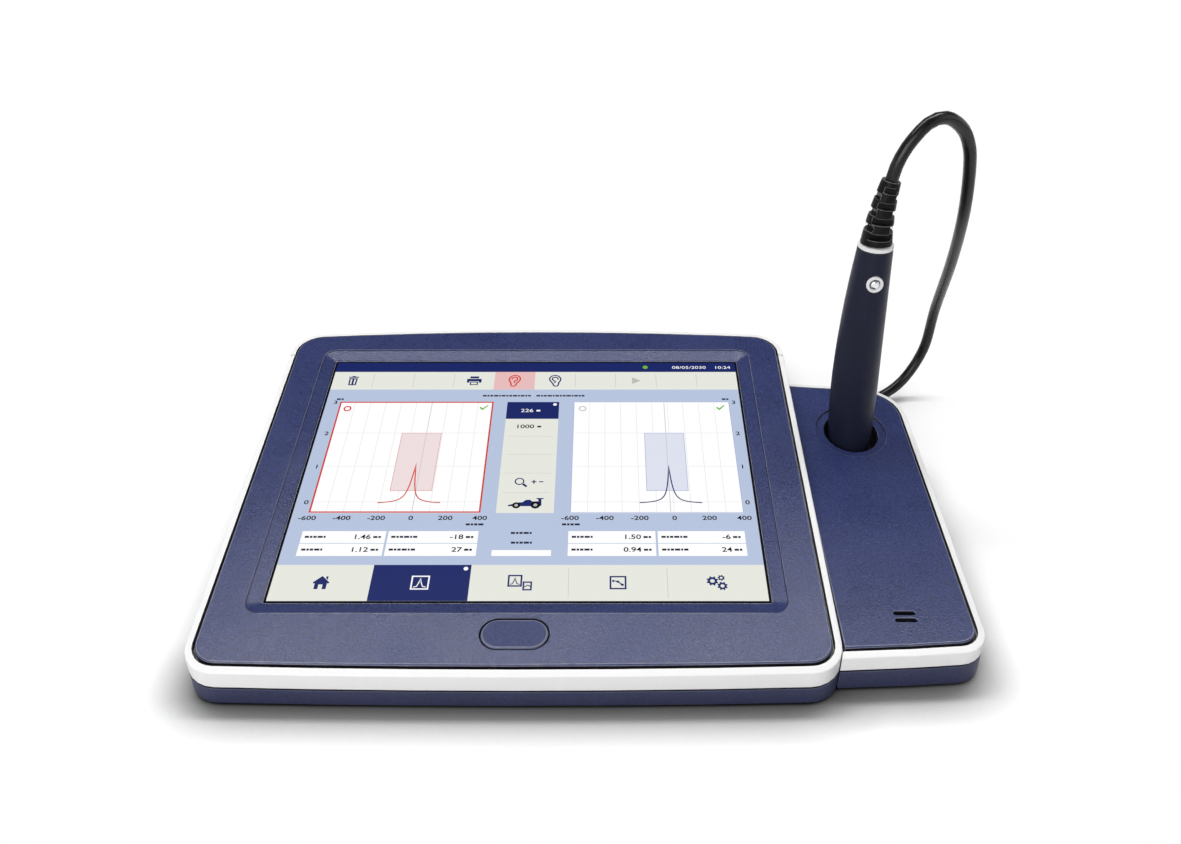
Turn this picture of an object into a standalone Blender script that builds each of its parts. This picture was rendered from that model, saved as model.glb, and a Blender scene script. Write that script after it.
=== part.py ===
"""Desktop tympanometer: a wedge console with a touch screen, a lower dock beside it, a hand
probe standing in the dock's pocket and the probe's cord, which runs round to the back.

Metres, +Z up, +X to the right, +Y away from the user. The origin is on the table, under the
middle of the console and dock together. Console places are given as (u, t): u across from
the console's centre line, t up the slope from the front edge of the front panel.
"""
import math

import bpy
import bmesh
from mathutils import Matrix, Vector

# Driving sizes of the console
DISPLAY_WIDTH = 0.2112
DISPLAY_HEIGHT = 0.1584
DISPLAY_SIDE_MARGIN = 0.0230
DISPLAY_FRONT_MARGIN = 0.0341
DISPLAY_REAR_MARGIN = 0.0242
PANEL_FRONT_HEIGHT = 0.0197
CONSOLE_TILT = math.radians(10.52)
PANEL_THICKNESS = 0.0034
PANEL_EDGE_ROUND = 0.0005
FRONT_BOW = 0.0019
REAR_BOW = 0.0048
FRONT_CORNER_RADIUS = 0.0105
REAR_CORNER_RADIUS = 0.0125
FRONT_BOW_SHARES = (-0.62, -0.31, 0.0, 0.31, 0.62)
REAR_BOW_SHARES = (0.75, 0.5, 0.25, 0.0, -0.25, -0.5, -0.75)
CORNER_STEPS = 6

# Clearance between pieces that seat on each other, and the overrun of every cut
GAP = 0.0003
OVERRUN = 0.002
LEAST_RADIUS_SHARE = 0.05

# White trim round the panel
TRIM_WIDTH = 0.0037
TRIM_HEIGHT = 0.0069
TRIM_CHAMFER_DROP = 0.0010
TRIM_EDGE_ROUND = 0.0004
TRIM_WALL = 0.0022
LEDGE_WIDTH = 0.0026
LEDGE_THICKNESS = 0.0015

# Base tub and rear cover
BASE_CLEARANCE = 0.0020
BASE_EDGE_RADIUS = 0.0042
BASE_EDGE_STEPS = 3
BASE_WALL = 0.0022
BASE_FLOOR = 0.0024
REAR_STEP_HEIGHT = 0.0075
SEAM_FROM_CORNER = 0.0020
REAR_WALL = 0.0024

# Screen stack, from the panel down
OPENING_MARGIN = 0.0011
RECESS_DEPTH = 0.0022
RECESS_WIDTH = 0.0068
RECESS_REAR_WIDTH = 0.0075
RECESS_RADIUS = 0.0065
OPENING_RADIUS = 0.0008
GASKET_THICKNESS = 0.0005
GASKET_LAP = 0.0008
GLASS_THICKNESS = 0.0011
LCD_MARGIN = 0.0060
LCD_THICKNESS = 0.0050
BRACKET_SHEET = 0.0010
BRACKET_WINDOW_MARGIN = 0.0300

# Oval button in the panel, and the switch board under it
BUTTON_WIDTH = 0.0275
BUTTON_DEPTH = 0.0142
BUTTON_CENTRE = 0.0158
BUTTON_SLIT = 0.00035
BUTTON_PROUD = 0.0002
BUTTON_FLANGE = 0.0012
BUTTON_FLANGE_THICKNESS = 0.0010
BUTTON_TRAVEL = 0.0008
BUTTON_STEM_RADIUS = 0.0024
BUTTON_STEPS = 8
SWITCH_BOARD_WIDTH = 0.0300
SWITCH_BOARD_DEPTH = 0.0110
SWITCH_BOARD_THICKNESS = 0.0016
SWITCH_BOARD_HEIGHT = 0.0095
SWITCH_SIZE = 0.0060
SWITCH_HEIGHT = 0.0016
SWITCH_PLUNGER_RADIUS = 0.0016
SWITCH_PLUNGER_HEIGHT = 0.0010

# Boards and connectors inside
BOSS_RADIUS = 0.0030
BOARD_THICKNESS = 0.0016
BOARD_STANDOFF = 0.0030
BOARD_SIDE_CLEARANCE = 0.0166
BOARD_BACK_CLEARANCE = 0.0147
BOARD_DEPTH = 0.0970
BOARD_PUMP_CLEARANCE = 0.0045
BOARD_BOSS_INSET = 0.0060
SPREADER_SIZE = 0.0400
SPREADER_BASE = 0.0020
SPREADER_FIN_HEIGHT = 0.0070
SPREADER_FINS = 6
SPREADER_FIN_WIDTH_SHARE = 0.5
SPREADER_FIN_LENGTH_SHARE = 0.95
SPREADER_FROM_LEFT = 0.0670
SPREADER_FROM_FRONT = 0.0400
INLET_FROM_LEFT = 0.0270
INLET_WIDTH = 0.0090
INLET_HEIGHT = 0.0110
INLET_LENGTH = 0.0140
INLET_BORE_RADIUS = 0.0031
INLET_BORE_DEPTH = 0.0100
INLET_PIN_RADIUS = 0.0010
USB_FROM_LEFT = 0.0570
USB_WIDTH = 0.0120
USB_HEIGHT = 0.0110
USB_LENGTH = 0.0160
USB_WALL = 0.0008
USB_DEPTH = 0.0100
USB_TONGUE = 0.0056
CONNECTOR_SETBACK = 0.0008
SOCKET_FROM_RIGHT = 0.0140
SOCKET_HEIGHT = 0.0240
SOCKET_RADIUS = 0.0062
SOCKET_BORE_RADIUS = 0.0043
SOCKET_BORE_DEPTH = 0.0095
SOCKET_FLANGE = 0.0014
SOCKET_FLANGE_THICKNESS = 0.0016
SOCKET_LENGTH = 0.0140

# Air pump: a motor turns a screw, which drives a piston in a cylinder, along X
PUMP_BACK_CLEARANCE = 0.0467
PUMP_SIDE_CLEARANCE = 0.0051
PUMP_SHEET = 0.0015
PUMP_PLATE_LENGTH = 0.1010
PUMP_PLATE_DEPTH = 0.0240
MOTOR_EAR_INSET = 0.0195
MOTOR_RADIUS = 0.0090
MOTOR_LENGTH = 0.0160
MOTOR_BOSS_RADIUS = 0.0040
SCREW_RADIUS = 0.0020
SCREW_TIP_DEPTH = 0.0020
CYLINDER_INSET = 0.0195
CYLINDER_MOUTH = 0.0060
CYLINDER_BORE_RADIUS = 0.0080
CYLINDER_WALL = 0.0020
CYLINDER_CAP = 0.0025
CYLINDER_EAR_OFFSET = 0.0160
NOZZLE_RADIUS = 0.0020
NOZZLE_LENGTH = 0.0030
PISTON_END_SPACE = 0.0025
PISTON_HEAD = 0.0040
PISTON_CLEARANCE = 0.00015
PISTON_ROD_RADIUS = 0.0038
PISTON_ROD_LENGTH = 0.0180
PISTON_TRAVEL = 0.0150
VALVE_WIDTH = 0.0140
VALVE_DEPTH = 0.0180
VALVE_HEIGHT = 0.0180
AIR_TUBE_RADIUS = 0.0016
AIR_TUBE_RUN_SHARES = (0.22, 0.5, 0.7)

# Dock beside the console
DOCK_TILT = math.radians(7.36)
DOCK_FRONT_HEIGHT = 0.0201
DOCK_FRONT = 0.0095
DOCK_FRONT_RIGHT = 0.0128
DOCK_BACK = 0.1828
DOCK_BACK_RIGHT = 0.1768
DOCK_WIDTH = 0.0560
DOCK_FRONT_RADIUS = 0.0085
DOCK_BACK_RADIUS = 0.0200
DOCK_SEAM_SHARE = 0.25
DOCK_PLATE_THICKNESS = 0.0024
SLOT_LENGTH = 0.0092
SLOT_WIDTH = 0.0022
SLOT_PITCH = 0.0037
SLOT_FROM_LEFT = 0.0284
SLOT_FROM_FRONT = 0.0166
SLOT_ROUND_SHARE = 0.9
SLOT_STEPS = 3
SPEAKER_RADIUS = 0.0100
SPEAKER_HEIGHT = 0.0060
SPEAKER_RIM = 0.0015
SPEAKER_MAGNET_SHARE = 0.55

# Pocket for the probe
POCKET_FROM_LEFT = 0.0282
POCKET_FROM_BACK = 0.0373
POCKET_HALF_WIDTH = 0.0134
POCKET_HALF_DEPTH = 0.0157
POCKET_RING = 0.0040
POCKET_RING_FRONT_DEPTH = 0.0004
POCKET_RING_BACK_DEPTH = 0.0014
CUP_WALL = 0.0016
CUP_LEDGE_HEIGHT = 0.0252
CUP_LEDGE_CLEARANCE = 0.0010
CUP_FLOOR = 0.0014

# Hand probe, standing upright
PROBE_OFFSET = 0.0022
PROBE_LEVELS = 12
PROBE_DEPTH_RATIO = 1.10
PROBE_TOP = 0.1364
PROBE_WIDEST = 0.0600
PROBE_MAX_RADIUS = 0.01114
PROBE_TOP_RADIUS = 0.0080
PROBE_BOTTOM_RADIUS = 0.0099
PROBE_UPPER_TAPER_POWER = 1.75
PROBE_LOWER_TAPER_POWER = 1.8
PROBE_BEND = 0.0010
PROBE_BEND_MIDDLE = 0.0930
PROBE_BEND_HALF = 0.0460
PROBE_WALL = 0.0018
PROBE_SIDES = 24
RING_THICKNESS = 0.0016
RING_PROUD = 0.0001
RELIEF_HEIGHT = 0.0290
RELIEF_BOTTOM_RADIUS = 0.0072
RELIEF_TOP_RADIUS = 0.0043
RELIEF_LEAN = 0.0028
RELIEF_SLOT_HEIGHT = 0.0020
RELIEF_SLOTS = 7
RELIEF_FIRST_SLOT = 0.0046
RELIEF_SLOT_STEP = 0.0035
RELIEF_SLOT_SHARE = 0.8
RELIEF_CORE = 0.0006
NOSE_RADIUS = 0.0076
NOSE_END_RADIUS = 0.0042
NOSE_LENGTH = 0.0120
NOSE_SPIGOT = 0.0050
TIP_RADIUS = 0.0029
TIP_END_RADIUS = 0.0022
TIP_LENGTH = 0.0050
TIP_BORE_RADIUS = 0.0008
CORE_BOTTOM_SPACE = 0.0305
CORE_TOP_SPACE = 0.0074
CORE_SHELF_SPACE = 0.0081
CORE_FRONT = 0.0042
PROBE_BUTTON_DROP = 0.0142
BEZEL_RADIUS = 0.0039
BEZEL_BORE = 0.00245
BEZEL_PROUD = 0.0006
BEZEL_SEAT = 0.0010
PROBE_BUTTON_RADIUS = 0.00205
PROBE_BUTTON_DOME_SHARES = (0.45, 0.85)
PROBE_BUTTON_STEM_SHARE = 0.6
PROBE_BUTTON_PROUD = 0.0012
PROBE_BUTTON_TRAVEL = 0.0006

# Cord, plug and coil
CORD_RADIUS = 0.0029
PLUG_BARREL_RADIUS = 0.0040
PLUG_BARREL_LENGTH = 0.0085
PLUG_RADIUS = 0.0060
PLUG_LENGTH = 0.0180
BOOT_LENGTH = 0.0130
BOOT_RADIUS = 0.0048
BOOT_RIBS = 4
BOOT_RIB_SHARE = 0.55
BOOT_GROOVE_SHARE = 0.6
COIL_FROM_RIGHT = 0.0323
COIL_BEHIND = 0.0503
COIL_LEAD = 0.0250
COIL_OUTER_RADIUS = 0.0400
COIL_PITCH = 0.0065
COIL_LAYER_GAP = 0.0006
COIL_TURNS = 5.25
COIL_CLIMB_TURNS = 0.5
COIL_POINTS = 24
CORD_STEP = 0.0125
# Places that the cord passes: its bow from the pocket's middle, the rest from the console's rear right
CORD_BOW = (
    (0.0063, 0.0009, 0.1820),
    (0.0145, 0.0038, 0.1911),
    (0.0230, 0.0075, 0.1928),
    (0.0314, 0.0118, 0.1880),
    (0.0375, 0.0162, 0.1801),
    (0.0421, 0.0210, 0.1676),
    (0.0478, 0.0325, 0.1405),
)
CORD_FALL = (
    (0.0849, -0.0107, 0.1041),
    (0.0928, 0.0233, 0.0603),
    (0.0928, 0.0304, 0.0307),
    (0.0820, 0.0264, 0.0113),
    (0.0657, 0.0188, 0.0034),
    (0.0498, 0.0130, 0.0030),
    (0.0277, 0.0101, 0.0030),
    (0.0077, 0.0095, 0.0030),
)
CORD_TAIL = (
    (-0.0731, 0.0713, 0.0085),
    (-0.0798, 0.0818, 0.0060),
    (-0.0928, 0.0868, 0.0045),
    (-0.1078, 0.0828, 0.0060),
    (-0.1198, 0.0718, 0.0110),
    (-0.1261, 0.0568, 0.0180),
)

# Feet and screws
FOOT_RADIUS = 0.0060
FOOT_SEAT = 0.0008
FOOT_TOE_SHARE = 0.9
FOOT_INSET_X = 0.0220
FOOT_FRONT_Y = 0.0200
FOOT_BACK_INSET = 0.0267
DOCK_FOOT_RADIUS = 0.0045
SCREW_HEAD_RADIUS = 0.0026
SCREW_HEAD_HEIGHT = 0.0012
SCREW_SHANK_RADIUS = 0.0012
SCREW_SHANK_LENGTH = 0.0038
CASE_SCREW_OFFSET = 0.0140
LINK_SCREW_HEIGHT = 0.0120
LINK_SCREW_FRONT_SHARE = 0.25
LINK_SCREW_BACK_SHARE = 0.75

# Facets of round pieces, and the angle past which an edge stays sharp
ROUND_SIDES = 24
SMALL_SIDES = 16
BOSS_SIDES = 12
SHARP_ANGLE = math.radians(35)

NAVY = (0.040, 0.046, 0.145)
WHITE = (0.80, 0.81, 0.82)
BLACK = (0.012, 0.012, 0.014)
GREY = (0.33, 0.34, 0.36)
GREEN = (0.02, 0.16, 0.06)
DARK_NAVY = (0.016, 0.018, 0.040)
PALE_BLUE = (0.62, 0.68, 0.80)
CLEAR = (0.70, 0.72, 0.75)
BRASS = (0.55, 0.45, 0.30)

COS = math.cos(CONSOLE_TILT)
SIN = math.sin(CONSOLE_TILT)
PANEL_WIDTH = DISPLAY_WIDTH + 2 * DISPLAY_SIDE_MARGIN
PANEL_LENGTH = DISPLAY_FRONT_MARGIN + DISPLAY_HEIGHT + DISPLAY_REAR_MARGIN
SEAM_T = PANEL_LENGTH - REAR_BOW - REAR_CORNER_RADIUS - SEAM_FROM_CORNER
CONSOLE_RIGHT = PANEL_WIDTH / 2 + TRIM_WIDTH
DOCK_LEFT = CONSOLE_RIGHT + GAP
DOCK_RIGHT = DOCK_LEFT + DOCK_WIDTH
POCKET_X = DOCK_LEFT + POCKET_FROM_LEFT
POCKET_Y = DOCK_BACK - POCKET_FROM_BACK
PROBE_X = POCKET_X - PROBE_OFFSET
SLOT_X = DOCK_LEFT + SLOT_FROM_LEFT
SLOT_Y = DOCK_FRONT + SLOT_FROM_FRONT
FLOOR_TOP = BASE_CLEARANCE + BASE_FLOOR
REAR_WALL_Y = (PANEL_LENGTH + TRIM_WIDTH) * COS
COIL_X = CONSOLE_RIGHT - COIL_FROM_RIGHT
COIL_Y = REAR_WALL_Y + COIL_BEHIND
MIDDLE_X = (DOCK_RIGHT + TRIM_WIDTH - CONSOLE_RIGHT) / 2
MIDDLE_Y = (REAR_WALL_Y - TRIM_WIDTH * COS) / 2
PUMP_AXIS_Y = REAR_WALL_Y - PUMP_BACK_CLEARANCE
PUMP_PLATE_RIGHT = PANEL_WIDTH / 2 - PUMP_SIDE_CLEARANCE
PUMP_PLATE_LEFT = PUMP_PLATE_RIGHT - PUMP_PLATE_LENGTH
MOTOR_EAR_X = PUMP_PLATE_RIGHT - MOTOR_EAR_INSET
CYLINDER_LEFT = PUMP_PLATE_LEFT + CYLINDER_INSET
CYLINDER_EAR_X = CYLINDER_LEFT + CYLINDER_EAR_OFFSET
PISTON_LEFT = CYLINDER_LEFT + CYLINDER_CAP + PISTON_END_SPACE + PISTON_TRAVEL
CYLINDER_RIGHT = PISTON_LEFT + PISTON_HEAD + CYLINDER_MOUTH
SCREW_TIP_X = PISTON_LEFT + SCREW_TIP_DEPTH
BOARD_LEFT = BOARD_SIDE_CLEARANCE - PANEL_WIDTH / 2
BOARD_RIGHT = PUMP_PLATE_LEFT - BOARD_PUMP_CLEARANCE
BOARD_BACK = REAR_WALL_Y - BOARD_BACK_CLEARANCE
BOARD_FRONT = BOARD_BACK - BOARD_DEPTH
SPREADER_X = BOARD_LEFT + SPREADER_FROM_LEFT
SPREADER_Y = BOARD_FRONT + SPREADER_FROM_FRONT
INLET_X = BOARD_LEFT + INLET_FROM_LEFT
USB_X = BOARD_LEFT + USB_FROM_LEFT
SOCKET_X = BOARD_RIGHT - SOCKET_FROM_RIGHT
FOOT_BACK_Y = REAR_WALL_Y - FOOT_BACK_INSET
PROBE_BOTTOM = CUP_LEDGE_HEIGHT + GAP
CUP_LEDGE_RADIUS = NOSE_RADIUS + CUP_LEDGE_CLEARANCE
PROBE_BUTTON_HEIGHT = PROBE_TOP - PROBE_BUTTON_DROP
CORE_BOTTOM = PROBE_BOTTOM + CORE_BOTTOM_SPACE
CORE_TOP = PROBE_TOP - CORE_TOP_SPACE
CORE_SHELF = PROBE_BUTTON_HEIGHT - PROBE_BUTTON_RADIUS - CORE_SHELF_SPACE


def clear_scene():
    for item in list(bpy.data.objects):
        bpy.data.objects.remove(item, do_unlink=True)


def material(name, colour, roughness, metallic=0.0):
    made = bpy.data.materials.new(name)
    made.use_nodes = True
    shader = made.node_tree.nodes["Principled BSDF"]
    shader.inputs["Base Color"].default_value = (*colour, 1.0)
    shader.inputs["Roughness"].default_value = roughness
    shader.inputs["Metallic"].default_value = metallic
    return made


def place(obj, colour, roughness, metallic=0.0, parent=None):
    """Gives the object its material and hangs it on the product's own origin."""
    obj.data.materials.append(material(obj.name, colour, roughness, metallic))
    obj.parent = parent or bpy.data.objects["product_origin"]
    return obj


def mesh_object(name, mesh_data):
    """A new object from a finished bmesh, with faces out and round stretches shaded smooth."""
    bmesh.ops.recalc_face_normals(mesh_data, faces=mesh_data.faces[:])
    mesh = bpy.data.meshes.new(name)
    mesh_data.to_mesh(mesh)
    mesh_data.free()
    mesh.shade_smooth()
    mesh.set_sharp_from_angle(angle=SHARP_ANGLE)
    obj = bpy.data.objects.new(name, mesh)
    bpy.context.collection.objects.link(obj)
    return obj


def skin(name, loops, closed=False):
    """A body skinned over loops of as many points: capped at both ends, or closed on itself."""
    mesh_data = bmesh.new()
    rings = [[mesh_data.verts.new(point) for point in loop] for loop in loops]
    pairs = list(zip(rings, rings[1:]))
    if closed:
        pairs.append((rings[-1], rings[0]))
    for low, high in pairs:
        count = len(low)
        for i in range(count):
            j = (i + 1) % count
            mesh_data.faces.new((low[i], low[j], high[j], high[i]))
    if not closed:
        mesh_data.faces.new(rings[0][::-1])
        mesh_data.faces.new(rings[-1])
    return mesh_object(name, mesh_data)


def block(name, low, high):
    mesh_data = bmesh.new()
    bmesh.ops.create_cube(mesh_data, size=1)
    low = Vector(low)
    high = Vector(high)
    to_size = Matrix.Translation((low + high) / 2) @ Matrix.Diagonal((*(high - low), 1))
    bmesh.ops.transform(mesh_data, matrix=to_size, verts=mesh_data.verts[:])
    return mesh_object(name, mesh_data)


def turned(name, profile, place_matrix, sides):
    """A body turned about its own Z from (radius, height) points, then placed."""
    loops = []
    for radius, height in profile:
        loop = []
        for i in range(sides):
            angle = 2 * math.pi * i / sides
            loop.append(place_matrix @ Vector((radius * math.cos(angle), radius * math.sin(angle), height)))
        loops.append(loop)
    return skin(name, loops)


def upright(x, y, z=0.0):
    return Matrix.Translation((x, y, z))


def along_x(x, y, z):
    return Matrix.Translation((x, y, z)) @ Matrix.Rotation(math.pi / 2, 4, "Y")


def along_y(x, y, z):
    return Matrix.Translation((x, y, z)) @ Matrix.Rotation(-math.pi / 2, 4, "X")


def boolean(obj, other, operation):
    """Adds a Boolean with a helper that stays out of the build."""
    other.hide_render = True
    other.display_type = "WIRE"
    if other.parent is None:
        other.parent = obj.parent or bpy.data.objects["product_origin"]
    change = obj.modifiers.new(other.name, "BOOLEAN")
    change.operation = operation
    change.solver = "EXACT"
    change.object = other
    return obj


def cut(obj, other):
    return boolean(obj, other, "DIFFERENCE")


def joined(obj, other):
    return boolean(obj, other, "UNION")


def rounded_outline(corners, inset, steps=CORNER_STEPS):
    """Points round (x, y, radius) corners, anticlockwise, drawn in by inset; radius 0 is one point."""
    points = []
    count = len(corners)
    for i, (x, y, radius) in enumerate(corners):
        here = Vector((x, y))
        before = here - Vector(corners[i - 1][:2])
        after = Vector(corners[(i + 1) % count][:2]) - here
        before.normalize()
        after.normalize()
        inward_a = Vector((-before.y, before.x))
        inward_b = Vector((-after.y, after.x))
        corner = here + (inward_a + inward_b) * inset / (1 + inward_a.dot(inward_b))
        if not radius:
            points.append(corner)
            continue
        turn = before.angle(after)
        arc_radius = max(radius - inset, radius * LEAST_RADIUS_SHARE)
        start = corner - before * arc_radius * math.tan(turn / 2)
        centre = start + inward_a * arc_radius
        first = math.atan2(-inward_a.y, -inward_a.x)
        for step in range(steps + 1):
            angle = first + turn * step / steps
            points.append(centre + arc_radius * Vector((math.cos(angle), math.sin(angle))))
    return points


def slope_point(u, t, n=0.0):
    """The point at (u, t) on the console's top plane, raised by n square to it."""
    return Vector((u, t * COS - n * SIN, PANEL_FRONT_HEIGHT + t * SIN + n * COS))


def console_corners():
    half = PANEL_WIDTH / 2
    corners = [(-half, SEAM_T, 0), (-half, FRONT_BOW, FRONT_CORNER_RADIUS)]
    corners += [(half * share, FRONT_BOW * share**2, 0) for share in FRONT_BOW_SHARES]
    corners += [(half, FRONT_BOW, FRONT_CORNER_RADIUS), (half, SEAM_T, 0)]
    corners += [(half, SEAM_T + GAP, 0), (half, SEAM_T + 2 * GAP, 0)]
    corners += [(half, PANEL_LENGTH - REAR_BOW, REAR_CORNER_RADIUS)]
    corners += [(half * share, PANEL_LENGTH - REAR_BOW * share**2, 0) for share in REAR_BOW_SHARES]
    corners += [(-half, PANEL_LENGTH - REAR_BOW, REAR_CORNER_RADIUS)]
    corners += [(-half, SEAM_T + 2 * GAP, 0), (-half, SEAM_T + GAP, 0)]
    return corners


def front_run():
    """How many outline points lie on the left side, the front and the right side."""
    return 2 + 2 * (CORNER_STEPS + 1) + len(FRONT_BOW_SHARES)


def rim_loop(inset, drop):
    """The console's outline on its top plane, let down by drop."""
    return [slope_point(p.x, p.y) - Vector((0, 0, drop)) for p in rounded_outline(console_corners(), inset)]


def level_loop(inset, height):
    """The console's outline at one height over the table."""
    return [Vector((p.x, p.y * COS, height)) for p in rounded_outline(console_corners(), inset)]


def sections_of(loops, first, last):
    """Cross-sections along the outline, from its point number first to number last."""
    count = len(loops[0])
    return [[loop[i % count] for loop in loops] for i in range(first, last + 1)]


def ledge_drop():
    return (PANEL_THICKNESS + GAP) / COS


def trim_profile_loops(wall, foot_loops):
    """The trim's section: chamfered top, outer wall, the feet given, inner wall and panel ledge."""
    top = [
        rim_loop(-GAP, 0),
        rim_loop(-TRIM_WIDTH + TRIM_EDGE_ROUND, TRIM_CHAMFER_DROP),
        rim_loop(-TRIM_WIDTH, TRIM_CHAMFER_DROP + TRIM_EDGE_ROUND),
    ]
    ledge = [
        rim_loop(-TRIM_WIDTH + wall, ledge_drop() + LEDGE_THICKNESS),
        rim_loop(LEDGE_WIDTH, ledge_drop() + LEDGE_THICKNESS),
        rim_loop(LEDGE_WIDTH, ledge_drop()),
        rim_loop(-GAP, ledge_drop()),
    ]
    return top + foot_loops + ledge


def make_trim_frame():
    feet = [rim_loop(-TRIM_WIDTH, TRIM_HEIGHT), rim_loop(-TRIM_WIDTH + TRIM_WALL, TRIM_HEIGHT)]
    loops = trim_profile_loops(TRIM_WALL, feet)
    return place(skin("trim_frame", sections_of(loops, 0, front_run() - 1)), WHITE, 0.35)


def make_rear_cover():
    low = REAR_STEP_HEIGHT + GAP
    feet = [level_loop(-TRIM_WIDTH, low), level_loop(-TRIM_WIDTH + REAR_WALL, low)]
    loops = trim_profile_loops(REAR_WALL, feet)
    cover = skin("rear_cover", sections_of(loops, front_run() + 1, len(loops[0]) - 2))
    place(cover, WHITE, 0.35)
    windows = (("inlet", INLET_X, INLET_WIDTH, INLET_HEIGHT), ("usb", USB_X, USB_WIDTH, USB_HEIGHT))
    for name, x, width, height in windows:
        low_z = board_top() + GAP
        window = block(
            name + "_window",
            (x - width / 2 - GAP, BOARD_BACK, low_z - GAP),
            (x + width / 2 + GAP, REAR_WALL_Y + OVERRUN, low_z + height + GAP),
        )
        cut(cover, window)
    hole = turned(
        "socket_hole",
        [(SOCKET_RADIUS + GAP, 0), (SOCKET_RADIUS + GAP, REAR_WALL_Y + OVERRUN - BOARD_BACK)],
        along_y(SOCKET_X, BOARD_BACK, SOCKET_HEIGHT),
        ROUND_SIDES,
    )
    return cut(cover, hole)


def base_rim(inset):
    """The tub's rim: just under the trim at the sides and front, and low behind."""
    high = rim_loop(inset, TRIM_HEIGHT + GAP)
    low = level_loop(inset, REAR_STEP_HEIGHT)
    behind = front_run()
    return high[:behind] + low[behind:]


def foot_places():
    x = PANEL_WIDTH / 2 - FOOT_INSET_X
    return [(side * x, y) for y in (FOOT_FRONT_Y, FOOT_BACK_Y) for side in (-1, 1)]


def screw_places():
    return [(x + math.copysign(CASE_SCREW_OFFSET, -x), y) for x, y in foot_places()]


def boss_places():
    """(x, y, height) of every boss that stands on the tub's floor."""
    bosses = []
    for x in (BOARD_LEFT + BOARD_BOSS_INSET, BOARD_RIGHT - BOARD_BOSS_INSET):
        for y in (BOARD_FRONT + BOARD_BOSS_INSET, BOARD_BACK - BOARD_BOSS_INSET):
            bosses.append((x, y, FLOOR_TOP + BOARD_STANDOFF))
    for x in (PUMP_PLATE_LEFT + 2 * BOSS_RADIUS, PUMP_PLATE_RIGHT - 2 * BOSS_RADIUS):
        bosses.append((x, PUMP_AXIS_Y, FLOOR_TOP + BOARD_STANDOFF))
    for side in (-1, 1):
        x = side * (SWITCH_BOARD_WIDTH / 2 - BOSS_RADIUS)
        bosses.append((x, BUTTON_CENTRE * COS, SWITCH_BOARD_HEIGHT - GAP))
    return bosses


def add_feet_and_screws(tub, places, screws, radius):
    """Recesses under a tub for its feet, and stepped holes for its screws."""
    for i, (x, y) in enumerate(places):
        recess = turned(
            tub.name + f"_foot_recess_{i + 1}",
            [(radius + GAP, BASE_CLEARANCE - OVERRUN), (radius + GAP, BASE_CLEARANCE + FOOT_SEAT)],
            upright(x, y),
            ROUND_SIDES,
        )
        cut(tub, recess)
    for i, (x, y) in enumerate(screws):
        head = SCREW_HEAD_RADIUS + GAP
        shank = SCREW_SHANK_RADIUS + GAP
        step = BASE_CLEARANCE + SCREW_HEAD_HEIGHT + GAP
        hole = turned(
            tub.name + f"_screw_hole_{i + 1}",
            [(head, BASE_CLEARANCE - OVERRUN), (head, step), (shank, step), (shank, FLOOR_TOP + OVERRUN)],
            upright(x, y),
            BOSS_SIDES,
        )
        cut(tub, hole)


def make_base_pan():
    outer = -TRIM_WIDTH
    loops = []
    for step in range(BASE_EDGE_STEPS + 1):
        angle = math.pi / 2 * step / BASE_EDGE_STEPS
        inset = outer + BASE_EDGE_RADIUS * (1 - math.sin(angle))
        loops.append(level_loop(inset, BASE_CLEARANCE + BASE_EDGE_RADIUS * (1 - math.cos(angle))))
    loops.append(base_rim(outer))
    loops.append(base_rim(outer + BASE_WALL))
    loops.append(level_loop(outer + BASE_WALL, FLOOR_TOP + BASE_EDGE_RADIUS / 2))
    loops.append(level_loop(outer + BASE_WALL + BASE_EDGE_RADIUS / 2, FLOOR_TOP))
    pan = place(skin("base_pan", loops), NAVY, 0.5)
    for i, (x, y, height) in enumerate(boss_places()):
        boss = turned(
            f"boss_{i + 1}",
            [(BOSS_RADIUS, FLOOR_TOP - BASE_FLOOR / 2), (BOSS_RADIUS, height)],
            upright(x, y),
            BOSS_SIDES,
        )
        joined(pan, boss)
    add_feet_and_screws(pan, foot_places(), screw_places(), FOOT_RADIUS)
    for i, y in enumerate(link_screw_places()):
        hole = turned(
            f"pan_link_hole_{i + 1}",
            [(SCREW_SHANK_RADIUS + GAP, -BASE_WALL - OVERRUN), (SCREW_SHANK_RADIUS + GAP, OVERRUN)],
            along_x(CONSOLE_RIGHT, y, LINK_SCREW_HEIGHT),
            BOSS_SIDES,
        )
        cut(pan, hole)
    return pan


def recess_outline(grow, rear_grow, radius):
    """A rectangle round the display's active area, widened by grow, and by rear_grow behind."""
    half = DISPLAY_WIDTH / 2 + grow
    front = DISPLAY_FRONT_MARGIN - grow
    back = DISPLAY_FRONT_MARGIN + DISPLAY_HEIGHT + rear_grow
    corners = [(-half, back, radius), (-half, front, radius), (half, front, radius), (half, back, radius)]
    return rounded_outline(corners, 0)


def slope_loop(outline, n):
    return [slope_point(p.x, p.y, n) for p in outline]


def oval_outline(grow):
    radius = BUTTON_DEPTH / 2 + grow
    half = BUTTON_WIDTH / 2 + grow
    front = BUTTON_CENTRE - radius
    back = BUTTON_CENTRE + radius
    corners = [(-half, back, radius), (-half, front, radius), (half, front, radius), (half, back, radius)]
    return rounded_outline(corners, 0, BUTTON_STEPS)


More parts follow.
